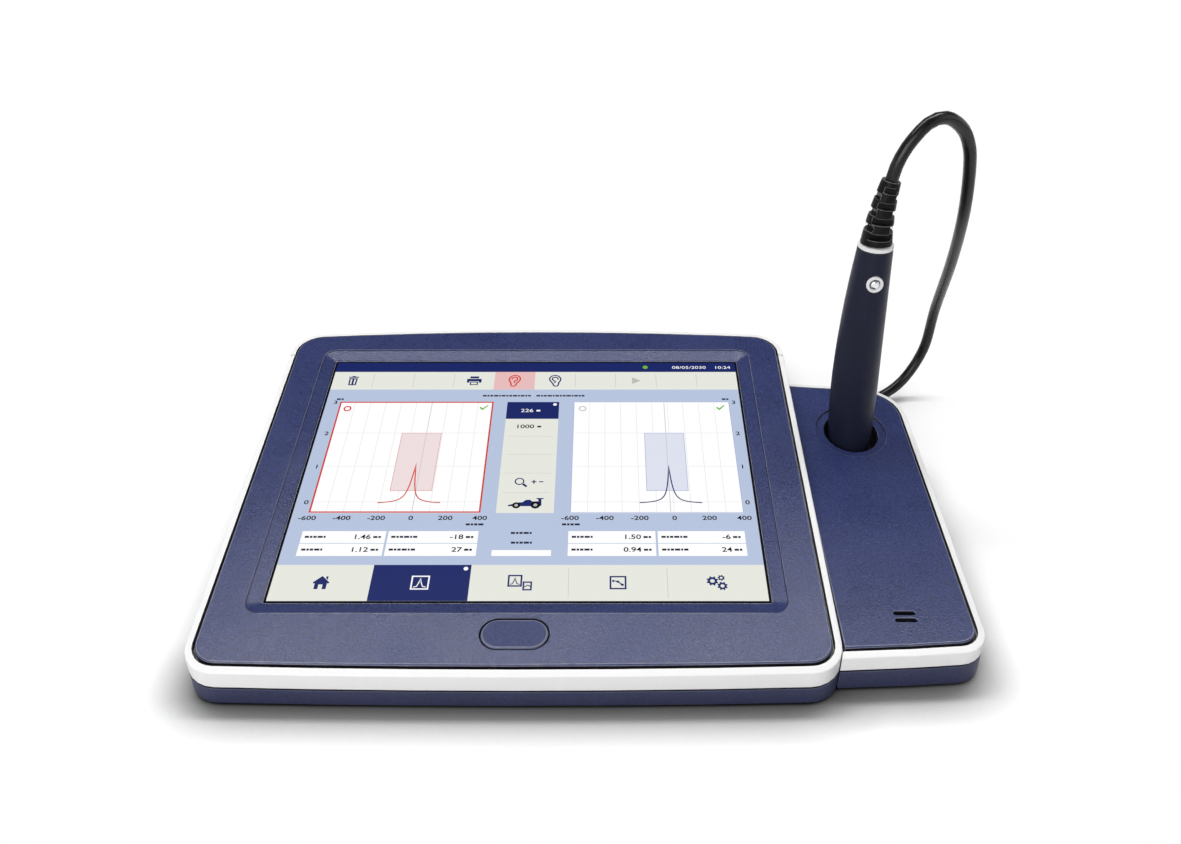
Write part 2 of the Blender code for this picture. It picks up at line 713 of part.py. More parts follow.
def make_front_panel():
    loops = [
        rim_loop(0, PANEL_THICKNESS / COS),
        rim_loop(0, PANEL_EDGE_ROUND),
        rim_loop(PANEL_EDGE_ROUND, 0),
    ]
    panel = place(skin("front_panel", loops), NAVY, 0.42)
    outer = recess_outline(OPENING_MARGIN + RECESS_WIDTH, OPENING_MARGIN + RECESS_REAR_WIDTH, RECESS_RADIUS)
    inner = recess_outline(OPENING_MARGIN, OPENING_MARGIN, OPENING_RADIUS)
    beyond = [low.lerp(high, 1 + OVERRUN / RECESS_DEPTH) for low, high in zip(inner, outer)]
    cutter = skin(
        "screen_cutter",
        [
            slope_loop(inner, -PANEL_THICKNESS - OVERRUN),
            slope_loop(inner, -RECESS_DEPTH),
            slope_loop(beyond, OVERRUN),
        ],
    )
    cut(panel, cutter)
    slit = oval_outline(BUTTON_SLIT)
    hole = skin("button_cutter", [slope_loop(slit, -PANEL_THICKNESS - OVERRUN), slope_loop(slit, OVERRUN)])
    return cut(panel, hole)


def frame_body(name, outer, inner, low, high):
    """A flat frame in the slope's own directions, from its outer and inner outlines."""
    loops = [slope_loop(outer, low), slope_loop(outer, high), slope_loop(inner, high), slope_loop(inner, low)]
    return skin(name, loops, closed=True)


def make_screen_stack():
    """The glass in the panel's opening, the gasket that it and the panel rest on, and the display."""
    glass_low = -PANEL_THICKNESS
    gasket_top = glass_low - GAP
    gasket_low = gasket_top - GASKET_THICKNESS
    lcd_top = gasket_low - GAP
    lcd_low = lcd_top - LCD_THICKNESS
    glass_margin = OPENING_MARGIN - GAP
    glass = recess_outline(glass_margin, glass_margin, OPENING_RADIUS)
    window = recess_outline(glass_margin - GASKET_LAP, glass_margin - GASKET_LAP, OPENING_RADIUS)
    plate = recess_outline(LCD_MARGIN, LCD_MARGIN, OPENING_RADIUS)
    place(frame_body("screen_gasket", plate, window, gasket_low, gasket_top), BLACK, 0.8)
    glass_top = glass_low + GLASS_THICKNESS
    sheet = skin("touch_glass", [slope_loop(glass, glass_low), slope_loop(glass, glass_top)])
    place(sheet, PALE_BLUE, 0.12)
    lcd = skin("display_panel", [slope_loop(plate, lcd_low), slope_loop(plate, lcd_top)])
    place(lcd, GREY, 0.4, 0.6)
    make_display_bracket(gasket_top, lcd_low)


def make_display_bracket(top, lcd_low):
    """A sheet tray that holds the screen against the panel, with a window behind the screen."""
    clear = LCD_MARGIN + GAP
    inner = recess_outline(clear, clear, OPENING_RADIUS)
    outer = recess_outline(clear + BRACKET_SHEET, clear + BRACKET_SHEET, OPENING_RADIUS + BRACKET_SHEET)
    seat = lcd_low - GAP
    loops = [slope_loop(outer, seat - BRACKET_SHEET), slope_loop(outer, top), slope_loop(inner, top)]
    loops.append(slope_loop(inner, seat))
    tray = place(skin("display_bracket", loops), GREY, 0.35, 0.9)
    hole = recess_outline(-BRACKET_WINDOW_MARGIN, -BRACKET_WINDOW_MARGIN, FRONT_CORNER_RADIUS)
    window = skin(
        "bracket_window",
        [slope_loop(hole, seat - BRACKET_SHEET - OVERRUN), slope_loop(hole, seat + OVERRUN)],
    )
    cut(tray, window)


def make_power_button():
    """The oval key: a cap flush with the panel, a flange that keeps it in and a stem below."""
    cap = oval_outline(0)
    flange = oval_outline(BUTTON_FLANGE)
    flange_top = -PANEL_THICKNESS - GAP
    flange_low = flange_top - BUTTON_FLANGE_THICKNESS
    edge = oval_outline(-PANEL_EDGE_ROUND)
    loops = [
        slope_loop(flange, flange_low),
        slope_loop(flange, flange_top),
        slope_loop(cap, flange_top),
        slope_loop(cap, BUTTON_PROUD - PANEL_EDGE_ROUND),
        slope_loop(edge, BUTTON_PROUD),
    ]
    button = place(skin("power_button", loops), NAVY, 0.45)
    foot = slope_point(0, BUTTON_CENTRE, flange_low)
    length = foot.z - switch_top() - BUTTON_TRAVEL - GAP
    stem = turned(
        "button_stem",
        [(BUTTON_STEM_RADIUS, -length), (BUTTON_STEM_RADIUS, BUTTON_FLANGE_THICKNESS / 2)],
        upright(*foot),
        SMALL_SIDES,
    )
    return joined(button, stem)


def switch_top():
    return SWITCH_BOARD_HEIGHT + SWITCH_BOARD_THICKNESS + SWITCH_HEIGHT + SWITCH_PLUNGER_HEIGHT


def make_switch_board():
    y = BUTTON_CENTRE * COS
    top = SWITCH_BOARD_HEIGHT + SWITCH_BOARD_THICKNESS
    board = block(
        "switch_board",
        (-SWITCH_BOARD_WIDTH / 2, y - SWITCH_BOARD_DEPTH / 2, SWITCH_BOARD_HEIGHT),
        (SWITCH_BOARD_WIDTH / 2, y + SWITCH_BOARD_DEPTH / 2, top),
    )
    place(board, GREEN, 0.5)
    half = SWITCH_SIZE / 2
    body = block(
        "switch_body",
        (-half, y - half, top - SWITCH_BOARD_THICKNESS / 2),
        (half, y + half, top + SWITCH_HEIGHT),
    )
    joined(board, body)
    plunger = turned(
        "switch_plunger",
        [(SWITCH_PLUNGER_RADIUS, top), (SWITCH_PLUNGER_RADIUS, switch_top())],
        upright(0, y),
        BOSS_SIDES,
    )
    return joined(board, plunger)


def board_top():
    return FLOOR_TOP + BOARD_STANDOFF + GAP + BOARD_THICKNESS


def make_main_board():
    board = block(
        "main_board",
        (BOARD_LEFT, BOARD_FRONT, board_top() - BOARD_THICKNESS),
        (BOARD_RIGHT, BOARD_BACK, board_top()),
    )
    return place(board, GREEN, 0.5)


def make_heat_spreader():
    low = board_top() + GAP
    half = SPREADER_SIZE / 2
    spreader = block(
        "heat_spreader",
        (SPREADER_X - half, SPREADER_Y - half, low),
        (SPREADER_X + half, SPREADER_Y + half, low + SPREADER_BASE),
    )
    place(spreader, GREY, 0.4, 0.9)
    pitch = SPREADER_SIZE / SPREADER_FINS
    width = pitch * SPREADER_FIN_WIDTH_SHARE
    reach = half * SPREADER_FIN_LENGTH_SHARE
    for i in range(SPREADER_FINS):
        x = SPREADER_X - half + pitch * i + (pitch - width) / 2
        fin = block(
            f"fin_{i + 1}",
            (x, SPREADER_Y - reach, low + SPREADER_BASE / 2),
            (x + width, SPREADER_Y + reach, low + SPREADER_BASE + SPREADER_FIN_HEIGHT),
        )
        joined(spreader, fin)
    return spreader


def rear_face_y(x):
    """Where the rear wall's outer face lies at x."""
    share = x / (PANEL_WIDTH / 2)
    return REAR_WALL_Y - REAR_BOW * COS * share**2


def make_power_inlet():
    low = board_top() + GAP
    back = rear_face_y(INLET_X) - CONNECTOR_SETBACK
    inlet = block(
        "power_inlet",
        (INLET_X - INLET_WIDTH / 2, back - INLET_LENGTH, low),
        (INLET_X + INLET_WIDTH / 2, back, low + INLET_HEIGHT),
    )
    place(inlet, BLACK, 0.5)
    middle = low + INLET_HEIGHT / 2
    bore = turned(
        "inlet_bore",
        [(INLET_BORE_RADIUS, -INLET_BORE_DEPTH), (INLET_BORE_RADIUS, OVERRUN)],
        along_y(INLET_X, back, middle),
        SMALL_SIDES,
    )
    cut(inlet, bore)
    pin = turned(
        "inlet_pin",
        [(INLET_PIN_RADIUS, -INLET_BORE_DEPTH - OVERRUN), (INLET_PIN_RADIUS, -CONNECTOR_SETBACK)],
        along_y(INLET_X, back, middle),
        BOSS_SIDES,
    )
    return joined(inlet, pin)


def make_usb_port():
    low = board_top() + GAP
    back = rear_face_y(USB_X) - CONNECTOR_SETBACK
    half = USB_WIDTH / 2
    port = block("usb_port", (USB_X - half, back - USB_LENGTH, low), (USB_X + half, back, low + USB_HEIGHT))
    place(port, GREY, 0.3, 0.9)
    mouth = block(
        "usb_mouth",
        (USB_X - half + USB_WALL, back - USB_DEPTH, low + USB_WALL),
        (USB_X + half - USB_WALL, back + OVERRUN, low + USB_HEIGHT - USB_WALL),
    )
    cut(port, mouth)
    half_tongue = USB_TONGUE / 2
    middle = low + USB_HEIGHT / 2
    tongue = block(
        "usb_tongue",
        (USB_X - half_tongue, back - USB_DEPTH - USB_WALL, middle - half_tongue),
        (USB_X + half_tongue, back - USB_WALL, middle + half_tongue),
    )
    return joined(port, tongue)


def make_probe_socket():
    """The socket in the rear wall that takes the probe's plug, its flange behind the wall."""
    face = rear_face_y(SOCKET_X)
    behind = -REAR_WALL - GAP
    profile = [
        (SOCKET_RADIUS + SOCKET_FLANGE, behind - SOCKET_FLANGE_THICKNESS),
        (SOCKET_RADIUS + SOCKET_FLANGE, behind),
        (SOCKET_RADIUS, behind),
        (SOCKET_RADIUS, 0),
        (SOCKET_BORE_RADIUS, 0),
        (SOCKET_BORE_RADIUS, -SOCKET_BORE_DEPTH),
    ]
    tail = [(SOCKET_BORE_RADIUS, -SOCKET_LENGTH), (SOCKET_RADIUS - SOCKET_FLANGE, -SOCKET_LENGTH)]
    tail.append((SOCKET_RADIUS - SOCKET_FLANGE, behind - SOCKET_FLANGE_THICKNESS))
    socket = turned("probe_socket", tail[1:] + profile, along_y(SOCKET_X, face, SOCKET_HEIGHT), ROUND_SIDES)
    return place(socket, BLACK, 0.45)


def pump_plate_top():
    return FLOOR_TOP + BOARD_STANDOFF + GAP + PUMP_SHEET


def pump_axis_height():
    return pump_plate_top() + CYLINDER_BORE_RADIUS + CYLINDER_WALL + GAP


def make_pump_bracket():
    half = PUMP_PLATE_DEPTH / 2
    low = pump_plate_top() - PUMP_SHEET
    bracket = block(
        "pump_bracket",
        (PUMP_PLATE_LEFT, PUMP_AXIS_Y - half, low),
        (PUMP_PLATE_RIGHT, PUMP_AXIS_Y + half, pump_plate_top()),
    )
    place(bracket, GREY, 0.4, 0.9)
    hold = CYLINDER_BORE_RADIUS + CYLINDER_WALL + GAP
    ears = (("motor_ear", MOTOR_EAR_X, MOTOR_BOSS_RADIUS + GAP), ("cylinder_ear", CYLINDER_EAR_X, hold))
    for name, x, hole_radius in ears:
        ear = block(
            name,
            (x, PUMP_AXIS_Y - half, low + PUMP_SHEET / 2),
            (x + PUMP_SHEET, PUMP_AXIS_Y + half, pump_axis_height() + hold + PUMP_SHEET),
        )
        joined(bracket, ear)
        hole = turned(
            name + "_hole",
            [(hole_radius, -OVERRUN), (hole_radius, PUMP_SHEET + OVERRUN)],
            along_x(x, PUMP_AXIS_Y, pump_axis_height()),
            ROUND_SIDES,
        )
        cut(bracket, hole)
    return bracket


def make_pump_motor():
    face = MOTOR_EAR_X + PUMP_SHEET + GAP
    profile = [
        (MOTOR_BOSS_RADIUS, -PUMP_SHEET - GAP),
        (MOTOR_BOSS_RADIUS, 0),
        (MOTOR_RADIUS, 0),
        (MOTOR_RADIUS, MOTOR_LENGTH),
    ]
    motor = turned("pump_motor", profile, along_x(face, PUMP_AXIS_Y, pump_axis_height()), ROUND_SIDES)
    return place(motor, GREY, 0.35, 0.8)


def make_pump_screw():
    """The lead screw, turned about its own local X, so its origin lies on the pump's axis."""
    right = MOTOR_EAR_X - 2 * GAP
    profile = [(SCREW_RADIUS, SCREW_TIP_X - right), (SCREW_RADIUS, 0)]
    screw = turned("pump_screw", profile, Matrix.Rotation(math.pi / 2, 4, "Y"), SMALL_SIDES)
    screw.location = (right, PUMP_AXIS_Y, pump_axis_height())
    return place(screw, GREY, 0.3, 1.0)


def make_pump_cylinder():
    length = CYLINDER_RIGHT - CYLINDER_LEFT
    outer = CYLINDER_BORE_RADIUS + CYLINDER_WALL
    profile = [
        (NOZZLE_RADIUS, -NOZZLE_LENGTH),
        (NOZZLE_RADIUS, 0),
        (outer, 0),
        (outer, length),
        (CYLINDER_BORE_RADIUS, length),
        (CYLINDER_BORE_RADIUS, CYLINDER_CAP),
    ]
    where = along_x(CYLINDER_LEFT, PUMP_AXIS_Y, pump_axis_height())
    return place(turned("pump_cylinder", profile, where, ROUND_SIDES), WHITE, 0.3)


def make_pump_piston():
    head = CYLINDER_BORE_RADIUS - PISTON_CLEARANCE
    rod_end = PISTON_HEAD + PISTON_ROD_LENGTH
    bore = SCREW_RADIUS + GAP
    profile = [
        (head, 0),
        (head, PISTON_HEAD),
        (PISTON_ROD_RADIUS, PISTON_HEAD),
        (PISTON_ROD_RADIUS, rod_end),
        (bore, rod_end),
        (bore, SCREW_TIP_X - PISTON_LEFT - GAP),
    ]
    piston = turned("pump_piston", profile, Matrix.Rotation(math.pi / 2, 4, "Y"), ROUND_SIDES)
    piston.location = (PISTON_LEFT, PUMP_AXIS_Y, pump_axis_height())
    return place(piston, BLACK, 0.4)


def make_valve_block():
    right = CYLINDER_LEFT - NOZZLE_LENGTH - GAP
    low = pump_plate_top() + GAP
    valve = block(
        "valve_block",
        (right - VALVE_WIDTH, PUMP_AXIS_Y - VALVE_DEPTH / 2, low),
        (right, PUMP_AXIS_Y + VALVE_DEPTH / 2, low + VALVE_HEIGHT),
    )
    return place(valve, BRASS, 0.4)


def smooth_points(route, step):
    """Points about a step apart on a smooth curve through the route's points."""
    knots = [Vector(point) for point in route]
    ends = [2 * knots[0] - knots[1]] + knots + [2 * knots[-1] - knots[-2]]
    points = [knots[0]]
    for a, b, c, d in zip(ends, ends[1:], ends[2:], ends[3:]):
        pieces = max(1, round((c - b).length / step))
        for i in range(1, pieces + 1):
            share = i / pieces
            points.append(
                0.5 * (2 * b + (c - a) * share + (2 * a - 5 * b + 4 * c - d) * share**2
                       + (3 * b - a - 3 * c + d) * share**3)
            )
    return points


def tube(name, points, radius, resolution):
    curve = bpy.data.curves.new(name, "CURVE")
    curve.dimensions = "3D"
    curve.bevel_depth = radius
    curve.bevel_resolution = resolution
    curve.use_fill_caps = True
    spline = curve.splines.new("POLY")
    spline.points.add(len(points) - 1)
    for knot, point in zip(spline.points, points):
        knot.co = (*point, 1)
    obj = bpy.data.objects.new(name, curve)
    bpy.context.collection.objects.link(obj)
    return obj


def make_air_tube():
    """The soft tube from the valve block to the back of the probe's socket."""
    valve_x = CYLINDER_LEFT - NOZZLE_LENGTH - GAP - VALVE_WIDTH / 2
    valve_y = PUMP_AXIS_Y + VALVE_DEPTH / 2
    start = Vector((valve_x, valve_y + GAP, SOCKET_HEIGHT))
    end = Vector((SOCKET_X, rear_face_y(SOCKET_X) - SOCKET_LENGTH - GAP, SOCKET_HEIGHT))
    lead = Vector((0, 2 * AIR_TUBE_RADIUS, 0))
    run = end - start
    bends = [start + lead + Vector((run.x * share, run.y * share, 0)) for share in AIR_TUBE_RUN_SHARES]
    route = [start, start + lead / 2] + bends + [end - lead, end]
    points = smooth_points(route, 2 * AIR_TUBE_RADIUS)
    return place(tube("air_tube", points, AIR_TUBE_RADIUS, 1), CLEAR, 0.3)


def make_foot(name, x, y, radius):
    top = BASE_CLEARANCE + FOOT_SEAT - GAP
    profile = [(radius * FOOT_TOE_SHARE, 0), (radius, BASE_CLEARANCE / 2), (radius, top)]
    return place(turned(name, profile, upright(x, y), ROUND_SIDES), BLACK, 0.9)


def make_screw(name, where):
    """A pan screw whose head lies at the origin of its place and whose shank points along +Z."""
    profile = [
        (SCREW_HEAD_RADIUS, 0),
        (SCREW_HEAD_RADIUS, SCREW_HEAD_HEIGHT),
        (SCREW_SHANK_RADIUS, SCREW_HEAD_HEIGHT),
        (SCREW_SHANK_RADIUS, SCREW_HEAD_HEIGHT + SCREW_SHANK_LENGTH),
    ]
    return place(turned(name, profile, where, BOSS_SIDES), GREY, 0.35, 1.0)


def dock_corners():
    """The dock's outline, square where it meets the console."""
    slant = (DOCK_FRONT_RIGHT - DOCK_FRONT) / DOCK_WIDTH
    back_slant = (DOCK_BACK_RIGHT - DOCK_BACK) / DOCK_WIDTH
    middle = (DOCK_LEFT + DOCK_RIGHT) / 2
    half = DOCK_WIDTH / 2
    bow = abs(slant) * half / 4
    return [
        (DOCK_LEFT, DOCK_BACK, 0),
        (DOCK_LEFT, DOCK_FRONT, 0),
        (middle, DOCK_FRONT + slant * half - bow, 0),
        (DOCK_RIGHT, DOCK_FRONT_RIGHT, DOCK_FRONT_RADIUS),
        (DOCK_RIGHT, DOCK_BACK_RIGHT, DOCK_BACK_RADIUS),
        (middle, DOCK_BACK + back_slant * half + bow, 0),
    ]


def dock_outline(inset, left_inset):
    """The dock's plan outline drawn in by inset, but by left_inset on the console's side."""
    points = rounded_outline(dock_corners(), inset)
    shift = left_inset - inset
    edge = DOCK_LEFT + inset + abs(shift)
    reach = DOCK_WIDTH * DOCK_SEAM_SHARE
    moved = []
    for point in points:
        share = max(0.0, min(1.0, (edge + reach - point.x) / reach))
        moved.append(Vector((point.x + shift * share, point.y)))
    return moved


def dock_height(y):
    return DOCK_FRONT_HEIGHT + (y - DOCK_FRONT) * math.tan(DOCK_TILT)


def below_dock(drop):
    """The height of a plane this far below the dock's top, as a function of y."""

    def height(y):
        return dock_height(y) - drop

    return height


def dock_rim(inset, drop, left_inset=None):
    outline = dock_outline(inset, inset if left_inset is None else left_inset)
    return [Vector((p.x, p.y, dock_height(p.y) - drop)) for p in outline]


def dock_level(inset, height, left_inset=None):
    outline = dock_outline(inset, inset if left_inset is None else left_inset)
    return [Vector((p.x, p.y, height)) for p in outline]


def dock_free_run():
    """The outline points of the dock's free sides, from its front left corner round to the back one."""
    first = 1
    return first, first + 2 * (CORNER_STEPS + 1) + 3


def make_dock_frame():
    """The white trim on the dock's three free sides."""
    ledge = DOCK_PLATE_THICKNESS + GAP
    loops = [
        dock_rim(-GAP, 0),
        dock_rim(-TRIM_WIDTH + TRIM_EDGE_ROUND, TRIM_CHAMFER_DROP),
        dock_rim(-TRIM_WIDTH, TRIM_CHAMFER_DROP + TRIM_EDGE_ROUND),
        dock_rim(-TRIM_WIDTH, TRIM_HEIGHT),
        dock_rim(-TRIM_WIDTH + TRIM_WALL, TRIM_HEIGHT),
        dock_rim(-TRIM_WIDTH + TRIM_WALL, ledge + LEDGE_THICKNESS),
        dock_rim(LEDGE_WIDTH, ledge + LEDGE_THICKNESS),
        dock_rim(LEDGE_WIDTH, ledge),
        dock_rim(-GAP, ledge),
    ]
    first, last = dock_free_run()
    sections = sections_of(loops, first, last)
    for section in (sections[0], sections[-1]):
        for point in section:
            point.x = DOCK_LEFT
    return place(skin("dock_frame", sections), WHITE, 0.35)


def make_dock_base():
    outer = -TRIM_WIDTH
    flush = 0.0
    loops = []
    for step in range(BASE_EDGE_STEPS + 1):
        angle = math.pi / 2 * step / BASE_EDGE_STEPS
        back_in = BASE_EDGE_RADIUS * (1 - math.sin(angle))
        height = BASE_CLEARANCE + BASE_EDGE_RADIUS * (1 - math.cos(angle))
        loops.append(dock_level(outer + back_in, height, flush + back_in))
    loops.append(dock_rim(outer, TRIM_HEIGHT + GAP, flush))
    loops.append(dock_rim(outer + BASE_WALL, TRIM_HEIGHT + GAP, flush + BASE_WALL))
    loops.append(dock_level(outer + BASE_WALL, FLOOR_TOP, flush + BASE_WALL))
    tub = place(skin("dock_base", loops), NAVY, 0.5)
    add_feet_and_screws(tub, dock_foot_places(), [], DOCK_FOOT_RADIUS)
    for i, y in enumerate(link_screw_places()):
        hole = turned(
            f"dock_link_hole_{i + 1}",
            [(SCREW_SHANK_RADIUS + GAP, -OVERRUN), (SCREW_SHANK_RADIUS + GAP, BASE_WALL + OVERRUN)],
            along_x(DOCK_LEFT, y, LINK_SCREW_HEIGHT),
            BOSS_SIDES,
        )
        cut(tub, hole)
    return tub


def dock_foot_places():
    x = DOCK_RIGHT - DOCK_FRONT_RADIUS
    return [(x, DOCK_FRONT_RIGHT + DOCK_FRONT_RADIUS), (x, DOCK_BACK_RIGHT - DOCK_BACK_RADIUS)]


def link_screw_places():
    length = DOCK_BACK - DOCK_FRONT
    return [DOCK_FRONT + length * share for share in (LINK_SCREW_FRONT_SHARE, LINK_SCREW_BACK_SHARE)]


def ellipse(x, y, half_width, half_depth, height, sides=PROBE_SIDES):
    """A level ellipse; height may be a function of y, for one on a sloping plane."""
    loop = []
    for i in range(sides):
        angle = 2 * math.pi * i / sides
        px = x + half_width * math.cos(angle)
        py = y + half_depth * math.sin(angle)
        loop.append(Vector((px, py, height(py) if callable(height) else height)))
    return loop


def ring_floor(y):
    """The height of the shallow ring round the pocket, which slopes less than the plate."""
    reach = POCKET_HALF_DEPTH + POCKET_RING
    share = (y - POCKET_Y + reach) / (2 * reach)
    depth = POCKET_RING_FRONT_DEPTH + (POCKET_RING_BACK_DEPTH - POCKET_RING_FRONT_DEPTH) * share
    return dock_height(y) - depth


def make_dock_plate():
    edge = PANEL_EDGE_ROUND
    side = GAP
    loops = [
        dock_rim(0, DOCK_PLATE_THICKNESS, side),
        dock_rim(0, edge, side),
        dock_rim(edge, 0, side + edge),
    ]
    plate = place(skin("dock_plate", loops), NAVY, 0.42)
    over = below_dock(-OVERRUN)
    under = below_dock(DOCK_PLATE_THICKNESS + OVERRUN)
    wide = POCKET_HALF_WIDTH + POCKET_RING
    deep = POCKET_HALF_DEPTH + POCKET_RING
    ring = skin(
        "pocket_ring_cutter",
        [ellipse(POCKET_X, POCKET_Y, wide, deep, ring_floor), ellipse(POCKET_X, POCKET_Y, wide, deep, over)],
    )
    cut(plate, ring)
    hole = skin(
        "pocket_cutter",
        [
            ellipse(POCKET_X, POCKET_Y, POCKET_HALF_WIDTH, POCKET_HALF_DEPTH, under),
            ellipse(POCKET_X, POCKET_Y, POCKET_HALF_WIDTH, POCKET_HALF_DEPTH, over),
        ],
    )
    cut(plate, hole)
    for i in (0, 1):
        slot = slot_cutter(f"sound_slot_{i + 1}", SLOT_Y + SLOT_PITCH * (i - 0.5), under, over)
        cut(plate, slot)
    return plate


def slot_cutter(name, y, under, over):
    half = SLOT_LENGTH / 2
    radius = SLOT_WIDTH / 2 * SLOT_ROUND_SHARE
    low = y - SLOT_WIDTH / 2
    high = y + SLOT_WIDTH / 2
    corners = [(SLOT_X - half, high, radius), (SLOT_X - half, low, radius)]
    corners += [(SLOT_X + half, low, radius), (SLOT_X + half, high, radius)]
    outline = rounded_outline(corners, 0, SLOT_STEPS)
    loops = [[Vector((p.x, p.y, height(p.y))) for p in outline] for height in (under, over)]
    return skin(name, loops)


def make_probe_cup():
    """The oval cup under the pocket: a sloping flange below the plate, a ledge and a floor."""
    under = below_dock(DOCK_PLATE_THICKNESS + GAP)
    below = below_dock(DOCK_PLATE_THICKNESS + GAP + CUP_WALL)
    width = POCKET_HALF_WIDTH
    depth = POCKET_HALF_DEPTH
    wall = CUP_WALL
    floor = FLOOR_TOP + GAP
    ledge = CUP_LEDGE_RADIUS
    loops = [
        ellipse(POCKET_X, POCKET_Y, width, depth, under),
        ellipse(POCKET_X, POCKET_Y, width, depth, CUP_LEDGE_HEIGHT),
        ellipse(probe_axis_x(PROBE_BOTTOM), POCKET_Y, ledge, ledge * PROBE_DEPTH_RATIO, CUP_LEDGE_HEIGHT),
        ellipse(probe_axis_x(PROBE_BOTTOM), POCKET_Y, ledge, ledge * PROBE_DEPTH_RATIO, floor + CUP_FLOOR),
    ]
    outer = [
        ellipse(POCKET_X, POCKET_Y, width, depth, floor),
        ellipse(POCKET_X, POCKET_Y, width + wall, depth + wall, floor + wall),
        ellipse(POCKET_X, POCKET_Y, width + wall, depth + wall, below),
        ellipse(POCKET_X, POCKET_Y, width + 2 * wall, depth + 2 * wall, below),
        ellipse(POCKET_X, POCKET_Y, width + 2 * wall, depth + 2 * wall, under),
    ]
    return place(skin("probe_cup", outer + loops), BLACK, 0.6)


def make_dock_speaker():
    y = SLOT_Y
    rim = SPEAKER_RADIUS + SPEAKER_RIM
    top = below_dock(DOCK_PLATE_THICKNESS + GAP)
    rim_low = below_dock(DOCK_PLATE_THICKNESS + GAP + SPEAKER_RIM)
    body_low = below_dock(DOCK_PLATE_THICKNESS + GAP + SPEAKER_HEIGHT)
    magnet = SPEAKER_RADIUS * SPEAKER_MAGNET_SHARE
    loops = [
        ellipse(SLOT_X, y, magnet, magnet, body_low),
        ellipse(SLOT_X, y, SPEAKER_RADIUS, SPEAKER_RADIUS, rim_low),
        ellipse(SLOT_X, y, rim, rim, rim_low),
        ellipse(SLOT_X, y, rim, rim, top),
        ellipse(SLOT_X, y, magnet, magnet, top),
        ellipse(SLOT_X, y, magnet / 2, magnet / 2, rim_low),
    ]
    return place(skin("dock_speaker", loops), BLACK, 0.6)


def probe_radius(height):
    """Half the handle's width at a height: fullest low down, slimmer to both ends."""
    if height > PROBE_WIDEST:
        share = (height - PROBE_WIDEST) / (PROBE_TOP - PROBE_WIDEST)
        return PROBE_MAX_RADIUS - (PROBE_MAX_RADIUS - PROBE_TOP_RADIUS) * share**PROBE_UPPER_TAPER_POWER
    share = (PROBE_WIDEST - height) / (PROBE_WIDEST - PROBE_BOTTOM)
    return PROBE_MAX_RADIUS - (PROBE_MAX_RADIUS - PROBE_BOTTOM_RADIUS) * share**PROBE_LOWER_TAPER_POWER


def probe_axis_x(height):
    """The handle bows a little to the left at the middle of its length."""
    return PROBE_X + PROBE_BEND * ((height - PROBE_BEND_MIDDLE) / PROBE_BEND_HALF) ** 2


def probe_loop(height, inset=0.0):
    radius = probe_radius(height) - inset
    return ellipse(probe_axis_x(height), POCKET_Y, radius, radius * PROBE_DEPTH_RATIO, height)


def probe_heights(low, high, levels):
    return [low + (high - low) * i / levels for i in range(levels + 1)]


def button_face_y():
    """The front of the handle where the probe's button sits."""
    return POCKET_Y - probe_radius(PROBE_BUTTON_HEIGHT) * PROBE_DEPTH_RATIO


def make_probe_handle(probe):
    heights = probe_heights(PROBE_BOTTOM, PROBE_TOP, PROBE_LEVELS)
    outer = [probe_loop(height) for height in heights]
    inner = [probe_loop(height, PROBE_WALL) for height in reversed(heights)]
    handle = place(skin("probe_handle", outer + inner, closed=True), DARK_NAVY, 0.45, parent=probe)
    x = probe_axis_x(PROBE_BUTTON_HEIGHT)
    seat = turned(
        "bezel_seat",
        [(BEZEL_RADIUS + GAP, -OVERRUN), (BEZEL_RADIUS + GAP, BEZEL_SEAT)],
        along_y(x, button_face_y(), PROBE_BUTTON_HEIGHT),
        SMALL_SIDES,
    )
    hole = turned(
        "button_hole",
        [(BEZEL_BORE, -OVERRUN), (BEZEL_BORE, PROBE_WALL + OVERRUN)],
        along_y(x, button_face_y(), PROBE_BUTTON_HEIGHT),
        SMALL_SIDES,
    )
    seat.parent = probe
    hole.parent = probe
    cut(handle, seat)
    return cut(handle, hole)


def make_button_bezel(probe):
    front = -BEZEL_PROUD
    back = BEZEL_SEAT - GAP
    round_edge = BEZEL_PROUD / 2
    profile = [
        (BEZEL_RADIUS, back),
        (BEZEL_RADIUS, front + round_edge),
        (BEZEL_RADIUS - round_edge, front),
        (BEZEL_BORE + round_edge, front),
        (BEZEL_BORE, front + round_edge),
        (BEZEL_BORE, back),
    ]
    where = along_y(probe_axis_x(PROBE_BUTTON_HEIGHT), button_face_y(), PROBE_BUTTON_HEIGHT)
    loops = []
    for radius, height in profile:
        loops.append([where @ p for p in ellipse(0, 0, radius, radius, height, SMALL_SIDES)])
    return place(skin("probe_button_bezel", loops, closed=True), WHITE, 0.3, parent=probe)


